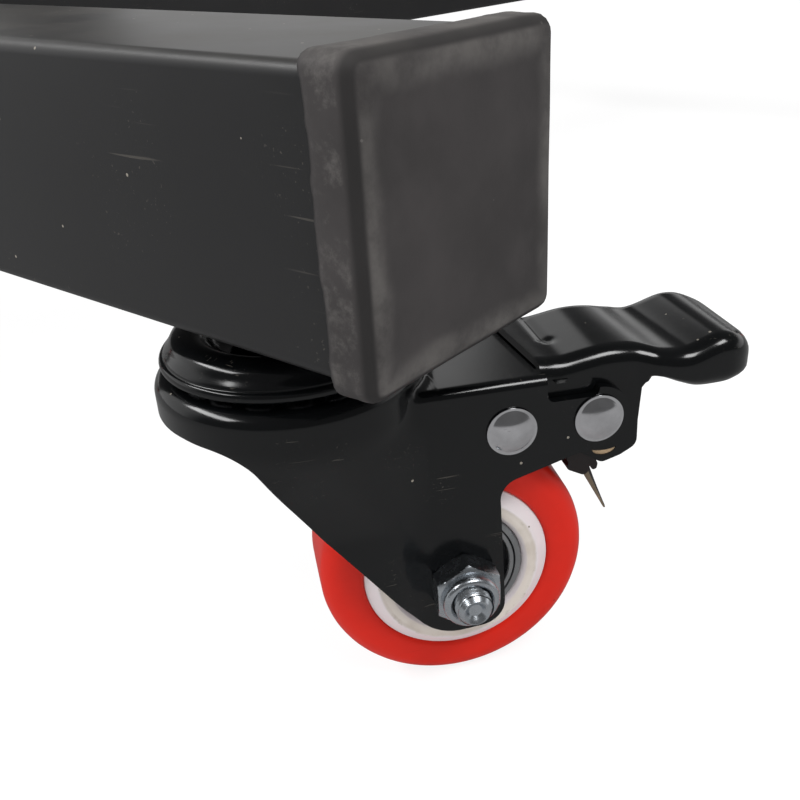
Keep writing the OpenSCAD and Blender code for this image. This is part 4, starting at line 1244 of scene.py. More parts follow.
def brake_shape(s):
    """The channel-shaped brake arm with its moulded shoe."""
    x1, x2, z = s.rivet_1_x, s.rivet_1_x + s.rivet_pitch, -s.rivet_drop
    half = s.brake_width / 2
    side = rounded([(x1 - 30, z + 7.5, 1.4), (x1 - 4, z + 7.5, 4), (x1 + 5, z + 5, 5),
                    (x2 - 4, z - 5, 4), (x2 + 1.5, z - 12, 3), (x2 - 3.4, z - 17, 3),
                    (x2 - 7, z - 9, 5), (x1 - 4, z - 5.2, 5), (x1 - 30, z + 4.5, 1.4)], 5)
    shape = Shape()
    for low in (-half, half - 2.5):
        shape.prism(side, low, low + 2.5)
    pad = [(x1 - 30, z + 7.2), (x1 - 30, z + 4.8), (x1 - 20, z + 2.6), (x1 - 20, z + 7.2)]
    shape.prism(pad, -half + 0.2, half - 0.2)
    shoe = rounded([(x2 - 4.4, z - 13, 1.5), (x2 - 4.6, z - 17.4, 1.2), (x2 - 4.0, z - 18.4, 0.8),
                    (x2 - 4.7, z - 20.4, 1.2), (x2 + 0.8, z - 23.4, 1.4), (x2 + 2.2, z - 21.7, 1),
                    (x2 + 1.7, z - 14, 2), (x2, z - 10, 2)], 5)
    return across(shape.prism(shoe, -half + 0.3, half - 0.3, tint=1))


def blade_shape(s):
    """The tapered blade with a dark strip along one side and the small bent tab that holds it."""
    x, z = s.rivet_1_x + s.rivet_pitch - 0.4, -s.rivet_drop - 21
    t, n = s.blade_t / 2, 12
    rows = []
    for i in range(n + 1):
        f = i / n
        left = x + 9.9 * f ** 0.96
        right = x + 4.1 + 6.6 * f ** 1.05
        bow = 0.5 * math.sin(math.pi * f)
        h = z - s.blade * f
        ground = left + 0.62 * (right - left)
        rows.append([(left, -4.5 - t + bow, h), (ground, -4.5 - t + bow, h),
                     (right, -4.5 + t + bow, h), (left, -4.5 + t + bow, h)])
    shape = Shape().rows([row[:2] for row in rows])
    shape.rows([row[1:3] for row in rows], tint=1)
    shape.rows([row[2:] + row[:1] for row in rows]).face(rows[0]).face(rows[-1])
    tab = rounded([(x + 3.0, z + 3, 0.5), (x + 5.4, z + 0.8, 1), (x + 6.4, z - 1.2, 1),
                   (x + 6.2, z - 2.8, 0.8), (x + 5.0, z - 3.4, 0.8), (x + 3.5, z - 1, 0.8)], 4)
    return shape.add(across(Shape().prism(tab, 3.2, 7.4, tint=1)))


# ---- pedal ----

def pedal_top(s, x):
    """Height of the pedal's top over a station behind the swivel axis."""
    x2 = s.rivet_1_x + s.rivet_pitch
    tip = x2 + s.pedal_reach
    knots = through([(x2 - 16, -20), (x2 - 8.5, -20.4), (x2 + 2, -18.9), (x2 + 10.6, -19.3),
                     (tip - 23, -22.0), (tip - 11.5, -19.1), (tip - 3.5, -20.8), (tip, -22.1)], 12)
    return float(np.interp(x, knots[:, 0], knots[:, 1]))


def pedal_lip(s, x):
    """Height of the turned-down lip's lower edge."""
    x2 = s.rivet_1_x + s.rivet_pitch
    tip = x2 + s.pedal_reach
    knots = through([(x2 + 12.3, -32.2), (x2 + 12.5, -30.9), (x2 + 13.2, -29.4), (x2 + 14.4, -28.4),
                     (x2 + 16.2, -28.0),
                     (x2 + 19.2, -28.8), (x2 + 24.2, -31), (x2 + 29.7, -32.6), (tip - 6, -32.4),
                     (tip - 2, -32.2), (tip, -30.5)], 8)
    return float(np.interp(x, knots[:, 0], knots[:, 1]))


def pedal_path(s):
    """Half of the pedal's plan outline, from its front edge to the middle of its tip."""
    x2 = s.rivet_1_x + s.rivet_pitch
    tip, neck, wide = x2 + s.pedal_reach, s.pedal_neck / 2, s.pedal_width / 2
    line = rounded([(x2 - 16, neck), (x2 + 11.6, neck, 6), (x2 + 16.4, wide, 7),
                    (tip, wide, 10), (tip, 0)], 10, closed=False)
    return resampled(line, 0.8)


def pedal_crease(s, x, y):
    """Depth of the pressed crease that crosses the pedal behind its front edge."""
    x2 = s.rivet_1_x + s.rivet_pitch
    across = smooth_step(y, -3.6, -1.6) * (1 - smooth_step(y, 14.6, 16.4))
    line = math.exp(-((x - (x2 - 9.1)) / 1.1) ** 2)
    dimple = math.exp(-(((x - (x2 - 7.9)) / 1.3) ** 2 + ((y + 3.3) / 1.5) ** 2))
    return 0.75 * line * float(across) + 0.7 * dimple


def pedal_shape(s):
    """The outer skin of the pressed pedal: its wavy top, rolled edge, lip and flanges."""
    x2, z = s.rivet_1_x + s.rivet_pitch, -s.rivet_drop
    tip, edge = x2 + s.pedal_reach, s.pedal_edge
    path = pedal_path(s)
    ahead = np.vstack([path[1:], path[-1:] + (0, -1)]) - np.vstack([path[:1] - (1, 0), path[:-1]])
    inward = np.stack([ahead[:, 1], -ahead[:, 0]], axis=1)
    inward /= np.linalg.norm(inward, axis=1)[:, None]
    inward = -inward if inward[0][1] > 0 else inward
    turn = x2 + 12.3
    shape = Shape()
    for side in (-1, 1):
        rows, walls = [], []
        for (x, y), (nx, ny) in zip(path, inward):
            spots = []
            for a in np.radians((0, 15, 30, 45, 60, 75, 90)):
                inset = edge * (1 - math.cos(a))
                spots.append((x + nx * inset, y + ny * inset, -edge * (1 - math.sin(a))))
            last = spots[-1]
            for f in np.linspace(0, 1, 19)[1:]:
                spots.append((last[0] + (min(last[0], tip - 6) - last[0]) * f, last[1] * (1 - f),
                              0))
            row = []
            for px, py, dz in spots:
                v = side * py
                near_valley = math.exp(-((px - tip + 22.6) / 14) ** 2)
                top = pedal_top(s, px + 0.072 * v * near_valley)
                drop = pedal_crease(s, px, v) if dz > -0.4 else 0
                ahead_of = 1 - float(smooth_step(px, x2 - 16, x2 - 9))
                row.append((px - (0.5 + 0.106 * v) * ahead_of, v, top + dz - drop))
            rows.append(row)
            low = pedal_lip(s, x) if x > turn else -25.0
            start = row[0][2]
            curl = [2.2 * max(0.0, 0.45 - f) ** 2 / 0.2 if x > turn + 2 else 0
                    for f in np.linspace(0, 1, 9)]
            walls.append([(x + nx * c, side * (y + ny * c), low + (start - low) * f)
                          for f, c in zip(np.linspace(0, 1, 9), curl)])
        shape.rows(rows)
        shape.rows([w for w in walls])
        flange = [w[0] for w, (x, y) in zip(walls, path) if x <= turn]
        corner_low = next(w[0] for w, (x, y) in zip(walls, path) if x > turn)
        y = side * s.pedal_neck / 2
        lower = rounded([(turn, -40), (x2 + 12.4, z - 11.4, 3), (x2 + 7.8, z - 13.9, 4),
                         (x2 + 2.6, z - 15.4, 2.5), (x2 - 1.2, z - 13.0, 3), (x2 - 8, z - 8, 4),
                         (x2 - 13.5, -27, 2), (x2 - 13.5, -25)], 5, closed=False)
        lower = [(px, y, pz) for px, pz in lower]
        right = min(range(len(lower)), key=lambda i: math.dist(lower[i], (x2 + 12.2, y, z - 10)))
        left = min(range(len(lower)), key=lambda i: math.dist(lower[i], (x2 - 7, y, z - 8.5)))
        cx, cz = x2 + 3.1, z - s.ear_r - 2.1
        under = [(cx + 3.4 * math.cos(t), y, cz + 2.2 * math.sin(t))
                 for t in np.radians(np.linspace(180, 360, 17))]
        over = [(px, y, cz + (pz - cz) * 0.34) for px, _, pz in reversed(under)]
        front = [p for p in flange if p[0] > x2 - 13.4]
        shape.face(front + [corner_low] + lower[:right + 1] + over + lower[left:])
        shape.face(lower[right:left + 1] + under)
    return shape


def grit_shape(s):
    """Grit packed into the flanges' crescent slots, a little under their faces."""
    cx, cz = s.rivet_1_x + s.rivet_pitch + 3.1, -s.rivet_drop - s.ear_r - 2.1
    turns = np.radians(np.linspace(180, 360, 25))
    under = [(cx + 3.5 * math.cos(t), cz + 2.3 * math.sin(t)) for t in turns]
    ragged = [(x, cz + (z - cz) * 0.34 + 0.22 * math.sin(4.1 * x) * math.sin(9.3 * x))
              for x, z in reversed(under)]
    shape, outer = Shape(), s.pedal_neck / 2 - 0.35
    for low in (-outer, outer - 0.9):
        shape.prism(under + ragged, low, low + 0.9)
    return across(shape)


class STAND_OT_brakes(Operator):
    """Make the brake arms, their blades and the pedals."""
    bl_idname = "stand.brakes"
    bl_label = "Brakes and pedals"

    def execute(self, context):
        s = sizes(context.scene.stand_castors)
        on_every_castor("brake_arm", brake_shape(s), ("powder_gloss", "shoe"), "brake", bevel=0.35)
        blade = mesh_of("blade", blade_shape(s), looks("blade", "shoe"), 30)
        for k in CASTORS:
            place(f"blade_{k}", blade, f"brake_{k}", "pin_steel", [f"brake_arm_{k}"],
                  castor_frame(k), bevel=0.16)
        on_every_castor("pedal", pedal_shape(s), "powder_gloss", "pedal", sharp=50,
                        sheet=s.pedal_sheet, bevel=0.3)
        grit = mesh_of("slot_grit", grit_shape(s), looks("grit"), 60)
        for k in CASTORS:
            place(f"slot_grit_{k}", grit, f"pedal_{k}", "hub_plastic", [], castor_frame(k))
        return {"FINISHED"}


# ---- wheel ----

def on_axle(s):
    """Turns a shape about +Z to stand on the axle, with +Z towards the nut."""
    return shift(s.trail, 0, axle_drop()) @ TO_FRONT


def mirrored(half):
    """A closed section made of one half (radius, width) and its mirror image."""
    return list(half) + [(r, -w) for r, w in reversed(half)]


def tread_section(s):
    """Section of the tread: rounded shoulders and a thin moulding line on each side."""
    r, w, e = s.wheel_d / 2, s.tread_width / 2, s.shoulder
    half = [(s.hub_d / 2, s.hub_width / 2 - 0.4), (s.hub_d / 2 + 0.5, w - 0.5),
            (s.hub_d / 2 + 1.3, w)]
    half += [(r - e - 0.4, w)]
    half += [(r - e + e * math.sin(t), w - e + e * math.cos(t))
             for t in np.radians((5, 15, 27, 40, 52, 64, 75, 84))]
    half += [(r - 0.03, w - e - 1), (r, w - e - 3)]
    return mirrored(half[::-1])[::-1]


def hub_section(s):
    """Section of the hub: rim, sloped shoulder, raised boss and bearing seat."""
    w, seat, boss = s.hub_width / 2, s.bearing_od / 2, s.boss_d / 2
    top = w + s.boss_rise
    half = [(s.hub_d / 2, w - 0.4), (s.hub_d / 2 - 0.2, w), (s.hub_d / 2 - 0.7, w + 0.15),
            (boss + 0.9, top - 0.55), (boss + 0.3, top - 0.1), (boss - 0.1, top),
            (boss - 0.5, top - 0.12), (boss - 1.4, top - 0.1), (seat + 1.3, top - 0.05),
            (seat + 0.9, top - 0.2), (seat + 0.25, top - 0.85), (seat, top - 1.2), (seat, 0.5)]
    return mirrored(half)


def ball_bearing(s):
    """One side's bearing, face at z = 0: outer race, cage ring, dark gap and inner race."""
    ro, ri, deep = s.bearing_od / 2, s.bearing_id / 2, 10.0
    outer = [(ro - 0.02, -deep), (ro - 0.02, -0.6), (ro - 0.5, 0.0), (ro - 1.9, 0.0),
             (ro - 2.05, -0.25), (ro - 2.05, -deep)]
    ring = [(ro - 2.25, -1.6), (ro - 2.25, -0.35), (ro - 2.5, -0.1), (ro - 3.5, -0.2),
            (ro - 3.75, -0.5), (ro - 3.75, -3.0)]
    inner = [(ro - 5.9, -deep), (ro - 5.9, -0.7), (ro - 6.3, -0.3), (ri + 0.8, -0.3),
             (ri + 0.02, -0.8), (ri + 0.02, -deep)]
    shape = Shape().turned(outer, 120, loop=True).turned(ring, 120, loop=True)
    shape.turned(inner, 96, loop=True)
    # Painted shade: a dark surface in the nylon finish fills the gaps between the races, standing
    # in for the shade inside them.
    gap_shade = [(ro - 2.05, -1.1), (ro - 2.4, -1.5), (ro - 3.8, -2.7), (ro - 5.9, -2.4)]
    return shape.turned(gap_shade, 96, tint=1)


class STAND_OT_wheels(Operator):
    """Make the treads, hubs and ball bearings."""
    bl_idname = "stand.wheels"
    bl_label = "Wheels"

    def execute(self, context):
        s = sizes(context.scene.stand_castors)
        at = on_axle(s)
        tread = Shape().add(Shape().turned(tread_section(s), 180, loop=True), at)
        hub = Shape().add(Shape().turned(hub_section(s), 180, loop=True), at)
        face = s.hub_width / 2 + s.boss_rise - s.bearing_depth
        bearing = Shape()
        for turn in (Matrix(), Matrix.Rotation(math.pi, 4, "X")):
            bearing.add(ball_bearing(s), at @ turn @ shift(0, 0, face))
        on_every_castor("tread", tread, "polyurethane", "wheel", sharp=50)
        on_every_castor("hub", hub, "hub_plastic", "wheel", sharp=38)
        # The nylon finish on the bearings is painted shade in the gaps between their races.
        on_every_castor("bearings", bearing, ("bearing_steel", "nylon"), "wheel", sharp=35)
        return {"FINISHED"}


# ---- lift ----

def about_pivot(height=0.0):
    """Placement at the lift's pivot, in millimetres."""
    x, y, z = (c / MM for c in JOINTS["lift_pivot"]["pos_m"])
    return shift(x, y, z + height)


def disc(radius, steps=64):
    """Outline of a circle."""
    return [(radius * math.cos(2 * math.pi * i / steps), radius * math.sin(2 * math.pi * i / steps))
            for i in range(steps)]


def cheek_outline(s, tube, corner_r):
    """Outline of a pivot cheek: a foot on the spine and a round head."""
    head, foot = s.pivot_d / 2 + 14, tube / 2 - corner_r
    lean = math.radians(-12)
    arc = [(head * math.cos(t), head * math.sin(t)) for t in np.linspace(lean, math.pi - lean, 40)]
    return [(foot, -s.pivot_rise)] + arc + [(-foot, -s.pivot_rise)]


class STAND_OT_pivot(Operator):
    """Make the cheeks, the stop, the pivot bolt and its nut."""
    bl_idname = "stand.pivot"
    bl_label = "Lift pivot"

    def execute(self, context):
        s, f = sizes(context.scene.stand_lift), sizes(context.scene.stand_frame)
        gap = s.pivot_tube_l / 2 + s.bush_flange + 0.4
        outline, low = cheek_outline(s, f.tube, f.tube_corner), -s.pivot_rise
        cheeks, beads = Shape(), Shape()
        for side in (-1, 1):
            near, far = sorted((side * gap, side * (gap + s.cheek_t)))
            cheeks.prism([(x, z) for x, z in outline], -far, -near)
            for y in (near - 0.8, far + 0.8):
                foot = outline[0][0]
                beads.add(weld([(-foot, y, low + 0.8), (foot, y, low + 0.8)], f.weld))
        single("lift_cheeks", Shape().add(across(cheeks), about_pivot()), "powder_satin", "root",
               bevel=0.8)
        single("pivot_welds", Shape().add(beads, about_pivot()), "powder_satin", "root", nodes=[],
               sharp=80)
        lo, hi = (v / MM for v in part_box("lift_stop"))
        slope = math.tan(math.radians(STOP_SLOPE))
        wedge = [(lo.x, lo.z), (hi.x, lo.z), (hi.x, hi.z - (hi.x - lo.x) * slope), (lo.x, hi.z)]
        stop = across(Shape().prism(wedge, -hi.y, -lo.y))
        single("lift_stop", stop, "powder_satin", "root", bevel=0.6)
        reach = gap + s.cheek_t
        backward = about_pivot() @ TO_FRONT.inverted()
        head = hexagon(s.pivot_hex, 0, s.pivot_d * 0.62, 1.2, 0.97, bore=0.01)
        bolt = Shape().add(head, about_pivot() @ shift(0, -reach, 0) @ TO_FRONT)
        end = reach + s.pivot_d * 1.1
        bolt.add(Shape().turned([(0.01, -reach), (s.pivot_d / 2, -reach),
                                 (s.pivot_d / 2, reach * 0.9)], 48),
                 backward)
        bolt.add(thread(s.pivot_d, 2.0, reach * 0.9, end - 0.6, steps=40),
                 backward)
        bolt.add(Shape().turned([(s.pivot_d / 2 - 0.9, end - 0.6), (s.pivot_d / 2 - 1.6, end),
                                 (0.01, end)], 40), backward)
        single("pivot_bolt", bolt, "zinc", "root", sharp=24)
        nut = hexagon(s.pivot_hex, 0, s.pivot_d * 0.8, 0.97, 0.97, bore=s.pivot_d / 2)
        single("pivot_nut",
               Shape().add(nut, about_pivot() @ shift(0, reach, 0) @ TO_FRONT.inverted()), "zinc",
               "root", sharp=24)
        return {"FINISHED"}


class STAND_OT_column(Operator):
    """Make the pivot tube, its bushes, the column and the clamp screw."""
    bl_idname = "stand.column"
    bl_label = "Column"

    def execute(self, context):
        s, f = sizes(context.scene.stand_lift), sizes(context.scene.stand_frame)
        turn = about_pivot() @ TO_FRONT
        half, outer = s.pivot_tube_l / 2, s.pivot_d / 2 + FIT + s.bush_wall
        tube = Shape().pipe(disc(s.pivot_tube_d / 2), disc(outer), -half, half)
        single("pivot_tube", Shape().add(tube, turn), "powder_satin", "lift", bevel=0.6)
        bushes = Shape()
        bore = s.pivot_d / 2 + FIT
        for way in (Matrix(), Matrix.Rotation(math.pi, 4, "X")):
            section = [(bore, 1), (outer, 1), (outer, half), (outer + 2.7, half),
                       (outer + 3, half + 0.3), (outer + 3, half + s.bush_flange - 0.3),
                       (outer + 2.7, half + s.bush_flange), (bore, half + s.bush_flange)]
            bushes.add(Shape().turned(section, 64, loop=True), way)
        single("pivot_bushes", Shape().add(bushes, turn), "bronze", "lift")
        wide = s.column / 2
        rim = square(s.column, 4, 8)
        rim = resampled(rim + rim[:1], 1.5)[:-1]
        saddle = [math.sqrt(max((s.pivot_tube_d / 2) ** 2 - x * x, 0)) for x, _ in rim]
        share = 1 - 2 * s.column_wall / s.column
        top = s.column_rise
        column = Shape().rows([[(x, y, low) for (x, y), low in zip(rim, saddle)],
                               [(x, y, top) for x, y in rim],
                               [(x * share, y * share, top) for x, y in rim],
                               [(x * share, y * share, low) for (x, y), low in zip(rim, saddle)]],
                              ring=True, loop=True)
        boss_z = s.column_rise - CLAMP_DROP
        boss = Shape().pipe(disc(s.boss_r, 48), disc(s.clamp_d / 2 + FIT, 48), wide - 1.5,
                            wide + s.boss_h)
        side = Matrix.Rotation(math.pi / 2, 4, "Y")
        column.add(boss, shift(0, 0, boss_z) @ side)
        single("column_tube", Shape().add(column, about_pivot()), "powder_satin", "lift",
               bevel=0.6)
        beads = Shape()
        ring = [(s.boss_r + 0.6) * Vector((0, math.cos(t), math.sin(t)))
                for t in np.linspace(0, 2 * math.pi, 40)[:-1]]
        beads.add(weld([(wide + 0.6, y, boss_z + z) for _, y, z in ring], 0.7 * f.weld,
                       closed=True))
        seat = []
        for t in np.linspace(math.radians(155), math.radians(25), 26):
            seat.append((s.pivot_tube_d / 2 * 1.03 * math.cos(t),
                         s.pivot_tube_d / 2 * math.sin(t) * 1.03))
        for y in (-wide - 0.6, wide + 0.6):
            beads.add(weld([(x, y, z) for x, z in seat], 0.85 * f.weld))
        single("column_welds", Shape().add(beads, about_pivot()), "powder_satin", "lift", nodes=[],
               sharp=80)
        start, end = s.inner / 2 + 0.3, wide + s.boss_h + 4
        screw = thread(s.clamp_d, 1.75, start, end, steps=32)
        screw.turned([(0.01, end), (s.clamp_d / 2 + 3, end), (s.clamp_d / 2 + 4, end + 1),
                      (s.clamp_d / 2 + 4, end + 11), (s.clamp_d / 2 + 3, end + 12),
                      (0.01, end + 12)], 40)
        bar = Shape().turned([(0.01, -s.clamp_bar / 2), (3.2, -s.clamp_bar / 2),
                              (4, -s.clamp_bar / 2 + 0.8), (4, s.clamp_bar / 2 - 0.8),
                              (3.2, s.clamp_bar / 2), (0.01, s.clamp_bar / 2)], 28)
        screw.add(bar, shift(0, 0, end + 6) @ Matrix.Rotation(math.pi / 2, 4, "X"))
        single("clamp_screw", Shape().add(screw, about_pivot(boss_z) @ side), "zinc", "clamp",
               sharp=28)
        return {"FINISHED"}


def lever_way():
    """Placement along the lever, from its pivot."""
    lo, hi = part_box("lever_grip")
    way = -1 if (lo.x + hi.x) < 2 * JOINTS["lift_pivot"]["pos_m"][0] else 1
    return about_pivot() @ Matrix.Rotation(way * math.radians(LEVER_LEAN), 4, "Y")


class STAND_OT_lever(Operator):
    """Make the socket, the lever tube, its pin and its grip."""
    bl_idname = "stand.lever"
    bl_label = "Lever"

    def execute(self, context):
        s, f = sizes(context.scene.stand_lift), sizes(context.scene.stand_frame)
        way = lever_way()
        tube_r, reach = s.pivot_tube_d / 2, s.column / 2 * math.sqrt(2)

        def foot(x, y):
            """Where the socket's wall starts: on the pivot tube or on the column's side."""
            saddle = math.sqrt(max(tube_r ** 2 - y * y, 0))
            return max(saddle, reach + x) if x > -reach / 2 else saddle

        outer, inner = disc(s.socket_d / 2, 96), disc(s.lever_d / 2 + 0.2, 96)
        socket = Shape().rows([[(x, y, foot(x, y)) for x, y in outer],
                               [(x, y, s.socket_reach) for x, y in outer],
                               [(x, y, s.socket_reach) for x, y in inner],
                               [(x, y, foot(x, y)) for x, y in inner]], ring=True, loop=True)
        single("lever_socket", Shape().add(socket, way), "powder_satin", "lift", bevel=0.5)
        bead = [(x, y, foot(x, y) + 0.8) for x, y in disc(s.socket_d / 2 + 0.5, 60)]
        single("socket_weld", Shape().add(weld(bead, 0.9 * f.weld, closed=True), way),
               "powder_satin", "lift", nodes=[], sharp=80)
        lo = s.lever_length - s.grip_length
        tube = Shape().pipe(disc(s.lever_d / 2, 64), disc(s.lever_d / 2 - s.lever_wall, 64), 40,
                            s.lever_length)
        single("lever_tube", Shape().add(tube, way), "powder_satin", "lift", bevel=0.5)
        high = s.socket_d / 2
        pin = Shape()
        for side in (-1, 1):
            profile = [(0.01, high + 5.5), (5.6, high + 5.5), (7, high + 4.6), (7, high + 2.5),
                       (5, high + 2.5), (5, 0)]
            pin.add(Shape().turned(profile, 40), Matrix.Rotation(side * math.pi / 2, 4, "X"))
        single("lever_pin", Shape().add(pin, way @ shift(0, 0, s.socket_reach - LEVER_PIN_DROP)),
               "zinc", "lift", sharp=28)
        r, cut = s.lever_d / 2, s.lever_d / 2 + s.grip_wall
        section = [(r, 0.3), (r + 0.4, 0), (cut + 0.6, 0), (cut + 1, 0.5), (cut + 1, 4.4),
                   (cut, 5.2)]
        ribs = int(s.grip_length // 10) - 2
        for i in range(1, ribs + 1):
            at = 10 * i
            section += [(cut, at - 0.2), (cut + 0.7, at + 0.3), (cut + 1, at + 1.1),
                        (cut + 1, at + 3.9), (cut + 0.7, at + 4.7), (cut, at + 5.2)]
        top = s.grip_length + s.grip_wall
        section += [(cut, top - 5), (cut, top - 2.5), (cut - 0.8, top - 0.8), (cut - 2.5, top),
                    (4, top), (3, top - 1), (0.01, top - 1)]
        grip = Shape().turned(section, 72)
        single("lever_grip", Shape().add(grip, way @ shift(0, 0, lo)), "grip_rubber", "lift",
               sharp=60)
        return {"FINISHED"}


class STAND_OT_adapter(Operator):
    """Make the inner column, the adapter plate and its pins."""
    bl_idname = "stand.adapter"
    bl_label = "Adapter"

    def execute(self, context):
        s, f = sizes(context.scene.stand_lift), sizes(context.scene.stand_frame)
        top = s.column_rise
        inner = Shape().pipe(square(s.inner, 3, 8), square(s.inner - 6, 0.8, 8), -s.engaged,
                             s.pin_rise + s.plate_height / 2)
        inner.pipe(square(s.column + 4, 4, 8), square(s.inner - 0.4, 3, 8), 0.3, 10.3)
        at = about_pivot(top)
        single("inner_column", Shape().add(inner, at), "powder_satin", "height", bevel=0.6)
        w, h, face = s.plate_width / 2, s.plate_height / 2, s.inner / 2
        outline = rounded([(-w, -h, 8), (w, -h, 8), (w, h, 8), (-w, h, 8)], 8)
        plate = Shape().prism(outline, -(face + s.plate_t), -face)
        single("adapter_plate", Shape().add(across(plate), at @ shift(0, 0, s.pin_rise)),
               "powder_satin", "height", bevel=0.9)
        beads = Shape()
        for x in (-s.inner / 2 - 0.6, s.inner / 2 + 0.6):
            beads.add(weld([(x, face - 0.6, s.pin_rise - h + 1),
                            (x, face - 0.6, s.pin_rise + h - 1)], 0.85 * f.weld))
        loop = [(x, y, 10.9) for x, y in square(s.inner + 1.2, 3, 4)]
        beads.add(weld(loop, 0.6 * f.weld, closed=True))
        single("adapter_welds", Shape().add(beads, at), "powder_satin", "height", nodes=[],
               sharp=80)
        r, collar, t = s.pin_d / 2, s.collar_d / 2, s.collar_t
        section = [(r - 2, -s.plate_t), (r - 2, 0), (collar - 0.6, 0), (collar, 0.6),
                   (collar, t - 0.6), (collar - 0.6, t), (r + 0.8, t), (r, t + 0.8),
                   (r, t + s.pin_length), (r - 2.5, t + s.pin_length + 3),
                   (0.01, t + s.pin_length + 3)]
        pins = Shape()
        for side in (-1, 1):
            pins.add(Shape().turned(section, 64).turned([(0.01, -s.plate_t), (r - 2, -s.plate_t)],
                                                        64),
                     at @ shift(side * s.pin_pitch / 2, face + s.plate_t,
                                s.pin_rise) @ TO_FRONT.inverted())
        single("adapter_pins", pins, "pin_steel", "height", sharp=28)
        return {"FINISHED"}


# ---- stage ----

def direct_rays(nodes):
    """1 for rays from the camera, and 1 for rays off a glossy surface or through glass."""
    path = nodes.add("ShaderNodeLightPath").outputs
    return path["Is Camera Ray"], nodes.most(path["Is Glossy Ray"], path["Is Transmission Ray"])


def studio_walls(nodes):
    """Brightness of the studio by direction: a white backdrop, taller on the left, dim in front."""
    way = nodes.add("ShaderNodeTexCoord").outputs["Generated"]
    turn = math.radians(CAMERA_TURN)
    ahead, left = (nodes.add("ShaderNodeVectorMath", {0: way, 1: axis},
                             operation="DOT_PRODUCT").outputs["Value"]
                   for axis in ((math.sin(turn), -math.cos(turn), 0),
                                (-math.cos(turn), -math.sin(turn), 0)))
    height = nodes.add("ShaderNodeSeparateXYZ", {"Vector": way}).outputs["Z"]
    tall = nodes.times(nodes.ramp(left, -0.09, -0.01), nodes.ramp(height, 0.66, 0.5))
    wall = nodes.most(nodes.ramp(height, 0.34, 0.18), tall)
    wall = nodes.times(nodes.ramp(ahead, 0.35, -0.1), wall)
    return nodes.plus(nodes.times(wall, 0.86), 0.11)


def softbox(name, place, target, size, strength):
    """An area lamp that faces a target."""
    light = bpy.data.lights.new(name, "AREA")
    light.shape = "RECTANGLE"
    light.size, light.size_y = size
    light.energy = strength
    lamp = bpy.data.objects.new(name, light)
    bpy.context.scene.collection.objects.link(lamp)
    aim = Vector(target) - Vector(place)
    turn = aim.to_track_quat("-Z", "Y").to_matrix().to_4x4()
    lamp.matrix_world = Matrix.Translation(place) @ turn
    return lamp


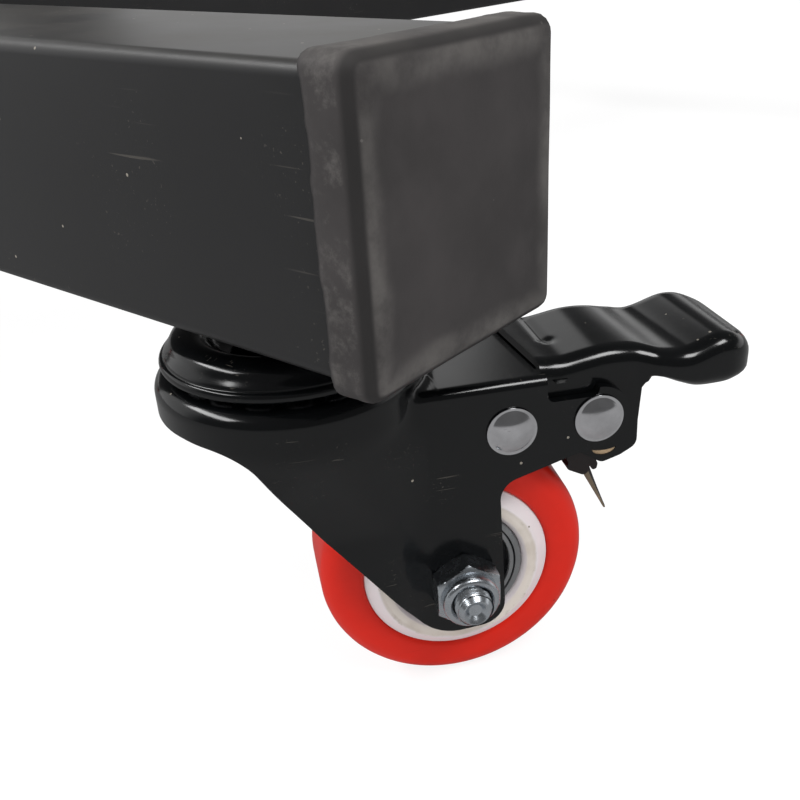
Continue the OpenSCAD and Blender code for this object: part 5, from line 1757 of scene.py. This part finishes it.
class STAND_OT_stage(Operator):
    """Set up the floor, the world, the lamps and the camera."""
    bl_idname = "stand.stage"
    bl_label = "Stage"

    def execute(self, context):
        scene = context.scene
        scene.view_settings.view_transform = "Standard"
        world = bpy.data.worlds.new("Studio")
        scene.world = world
        world.use_nodes = True
        world.node_tree.nodes.clear()
        nodes = Nodes(world.node_tree)
        camera_ray, glossy_ray = direct_rays(nodes)
        seen = nodes.plus(camera_ray, nodes.times(glossy_ray, studio_walls(nodes)))
        other = nodes.minus(1.0, nodes.most(camera_ray, glossy_ray))
        strength = nodes.plus(seen, nodes.times(other, 0.6))
        sky = nodes.add("ShaderNodeBackground", {"Color": (1, 1, 1, 1), "Strength": strength})
        nodes.add("ShaderNodeOutputWorld", {0: sky.outputs[0]})

        floor = Shape().face([(x * FLOOR_HALF, y * FLOOR_HALF, 0) for x,
                              y in ((-1, -1), (1, -1), (1, 1), (-1, 1))])
        material = bpy.data.materials.new("Floor")
        material.use_nodes = True
        nodes = Nodes(material.node_tree)
        tone = (*scene.stand_colours.floor, 1)
        camera_ray, glossy_ray = direct_rays(nodes)
        seen = nodes.most(camera_ray, glossy_ray)
        bright = nodes.plus(nodes.times(camera_ray, 0.86), nodes.times(glossy_ray, 0.12))
        matt = nodes.add("ShaderNodeBsdfDiffuse", {"Color": tone})
        shaded = nodes.add("ShaderNodeBsdfDiffuse", {"Color": (0.20, 0.20, 0.20, 1)})
        glow = nodes.add("ShaderNodeEmission", {"Color": (1, 1, 1, 1), "Strength": bright})
        both = nodes.add("ShaderNodeAddShader", {0: shaded.outputs[0], 1: glow.outputs[0]})
        mix = nodes.add("ShaderNodeMixShader", {0: seen, 1: matt.outputs[0], 2: both.outputs[0]})
        surface = material.node_tree.nodes["Material Output"].inputs["Surface"]
        material.node_tree.links.new(mix.outputs[0], surface)
        ground = bpy.data.objects.new("floor", mesh_of("floor", floor, [material], 30))
        ground.location.z = -FLOOR_DROP
        scene.collection.objects.link(ground)

        head = Vector(JOINTS["swivel_1"]["pos_m"])
        softbox("key", head + Vector((-1.0, -1.0, 1.45)), head, (1.7, 0.4), 26)
        softbox("overhead", head + Vector((1.15, -0.1, 1.75)), head, (0.8, 0.6), 22)

        turn, rise, roll = (math.radians(a) for a in (CAMERA_TURN, CAMERA_RISE, CAMERA_ROLL))
        back = Vector((math.sin(turn) * math.cos(rise), -math.cos(turn) * math.cos(rise),
                       math.sin(rise)))
        level = UP.cross(back).normalized()
        upright = back.cross(level)
        right = math.cos(roll) * level + math.sin(roll) * upright
        above = math.cos(roll) * upright - math.sin(roll) * level
        data = bpy.data.cameras.new("camera")
        data.sensor_width = 36
        data.lens = CAMERA_LENS
        data.shift_x, data.shift_y = -0.0483, 0.0066
        data.clip_start = 0.01
        camera = bpy.data.objects.new("camera", data)
        facing = Matrix((right, above, back)).transposed().to_4x4()
        camera.matrix_world = Matrix.Translation(CAMERA_PLACE) @ facing
        scene.collection.objects.link(camera)
        scene.camera = camera
        return {"FINISHED"}


class STAND_OT_small_parts(Operator):
    """Finish the pieces that keep their constructed shape."""
    bl_idname = "stand.small_parts"
    bl_label = "Small parts"

    def execute(self, context):
        kept = {"stem_nuts": "zinc", "swivel_balls": "bearing_steel"}
        kept.update({f"axle_sleeve_{k}": "zinc" for k in CASTORS})
        for name, slot in kept.items():
            node = frame["nodes"][name]
            node.data.materials.clear()
            node.data.materials.append(looks(slot)[0])
        return {"FINISHED"}


# ---- add-on ----

PIECES = (STAND_OT_frame, STAND_OT_end_caps, STAND_OT_castor_heads, STAND_OT_forks,
          STAND_OT_fasteners, STAND_OT_brakes, STAND_OT_wheels, STAND_OT_pivot, STAND_OT_column,
          STAND_OT_lever, STAND_OT_adapter, STAND_OT_small_parts, STAND_OT_stage)


class STAND_PT_sidebar(Panel):
    """The stand's operators and sizes."""
    bl_idname = "STAND_PT_sidebar"
    bl_label = "Stand"
    bl_space_type = "VIEW_3D"
    bl_region_type = "UI"
    bl_category = "Stand"

    def draw(self, context):
        for piece in PIECES:
            self.layout.operator(piece.bl_idname)
        scene = context.scene
        for group in (scene.stand_frame, scene.stand_castors, scene.stand_lift,
                      scene.stand_colours):
            box = self.layout.box()
            for key in group.__annotations__:
                box.prop(group, key)


GROUPS = {"stand_frame": StandFrameSizes, "stand_castors": StandCastorSizes,
          "stand_lift": StandLiftSizes, "stand_colours": StandColours}


def register():
    for group in (*GROUPS.values(), *PIECES, STAND_PT_sidebar):
        bpy.utils.register_class(group)
    for name, group in GROUPS.items():
        setattr(bpy.types.Scene, name, PointerProperty(type=group))


def unregister():
    for name in GROUPS:
        delattr(bpy.types.Scene, name)
    for group in reversed((*GROUPS.values(), *PIECES, STAND_PT_sidebar)):
        bpy.utils.unregister_class(group)


def main():
    register()
    for piece in PIECES:
        group, name = piece.bl_idname.split(".")
        getattr(getattr(bpy.ops, group), name)()


if __name__ == "__main__":
    main()
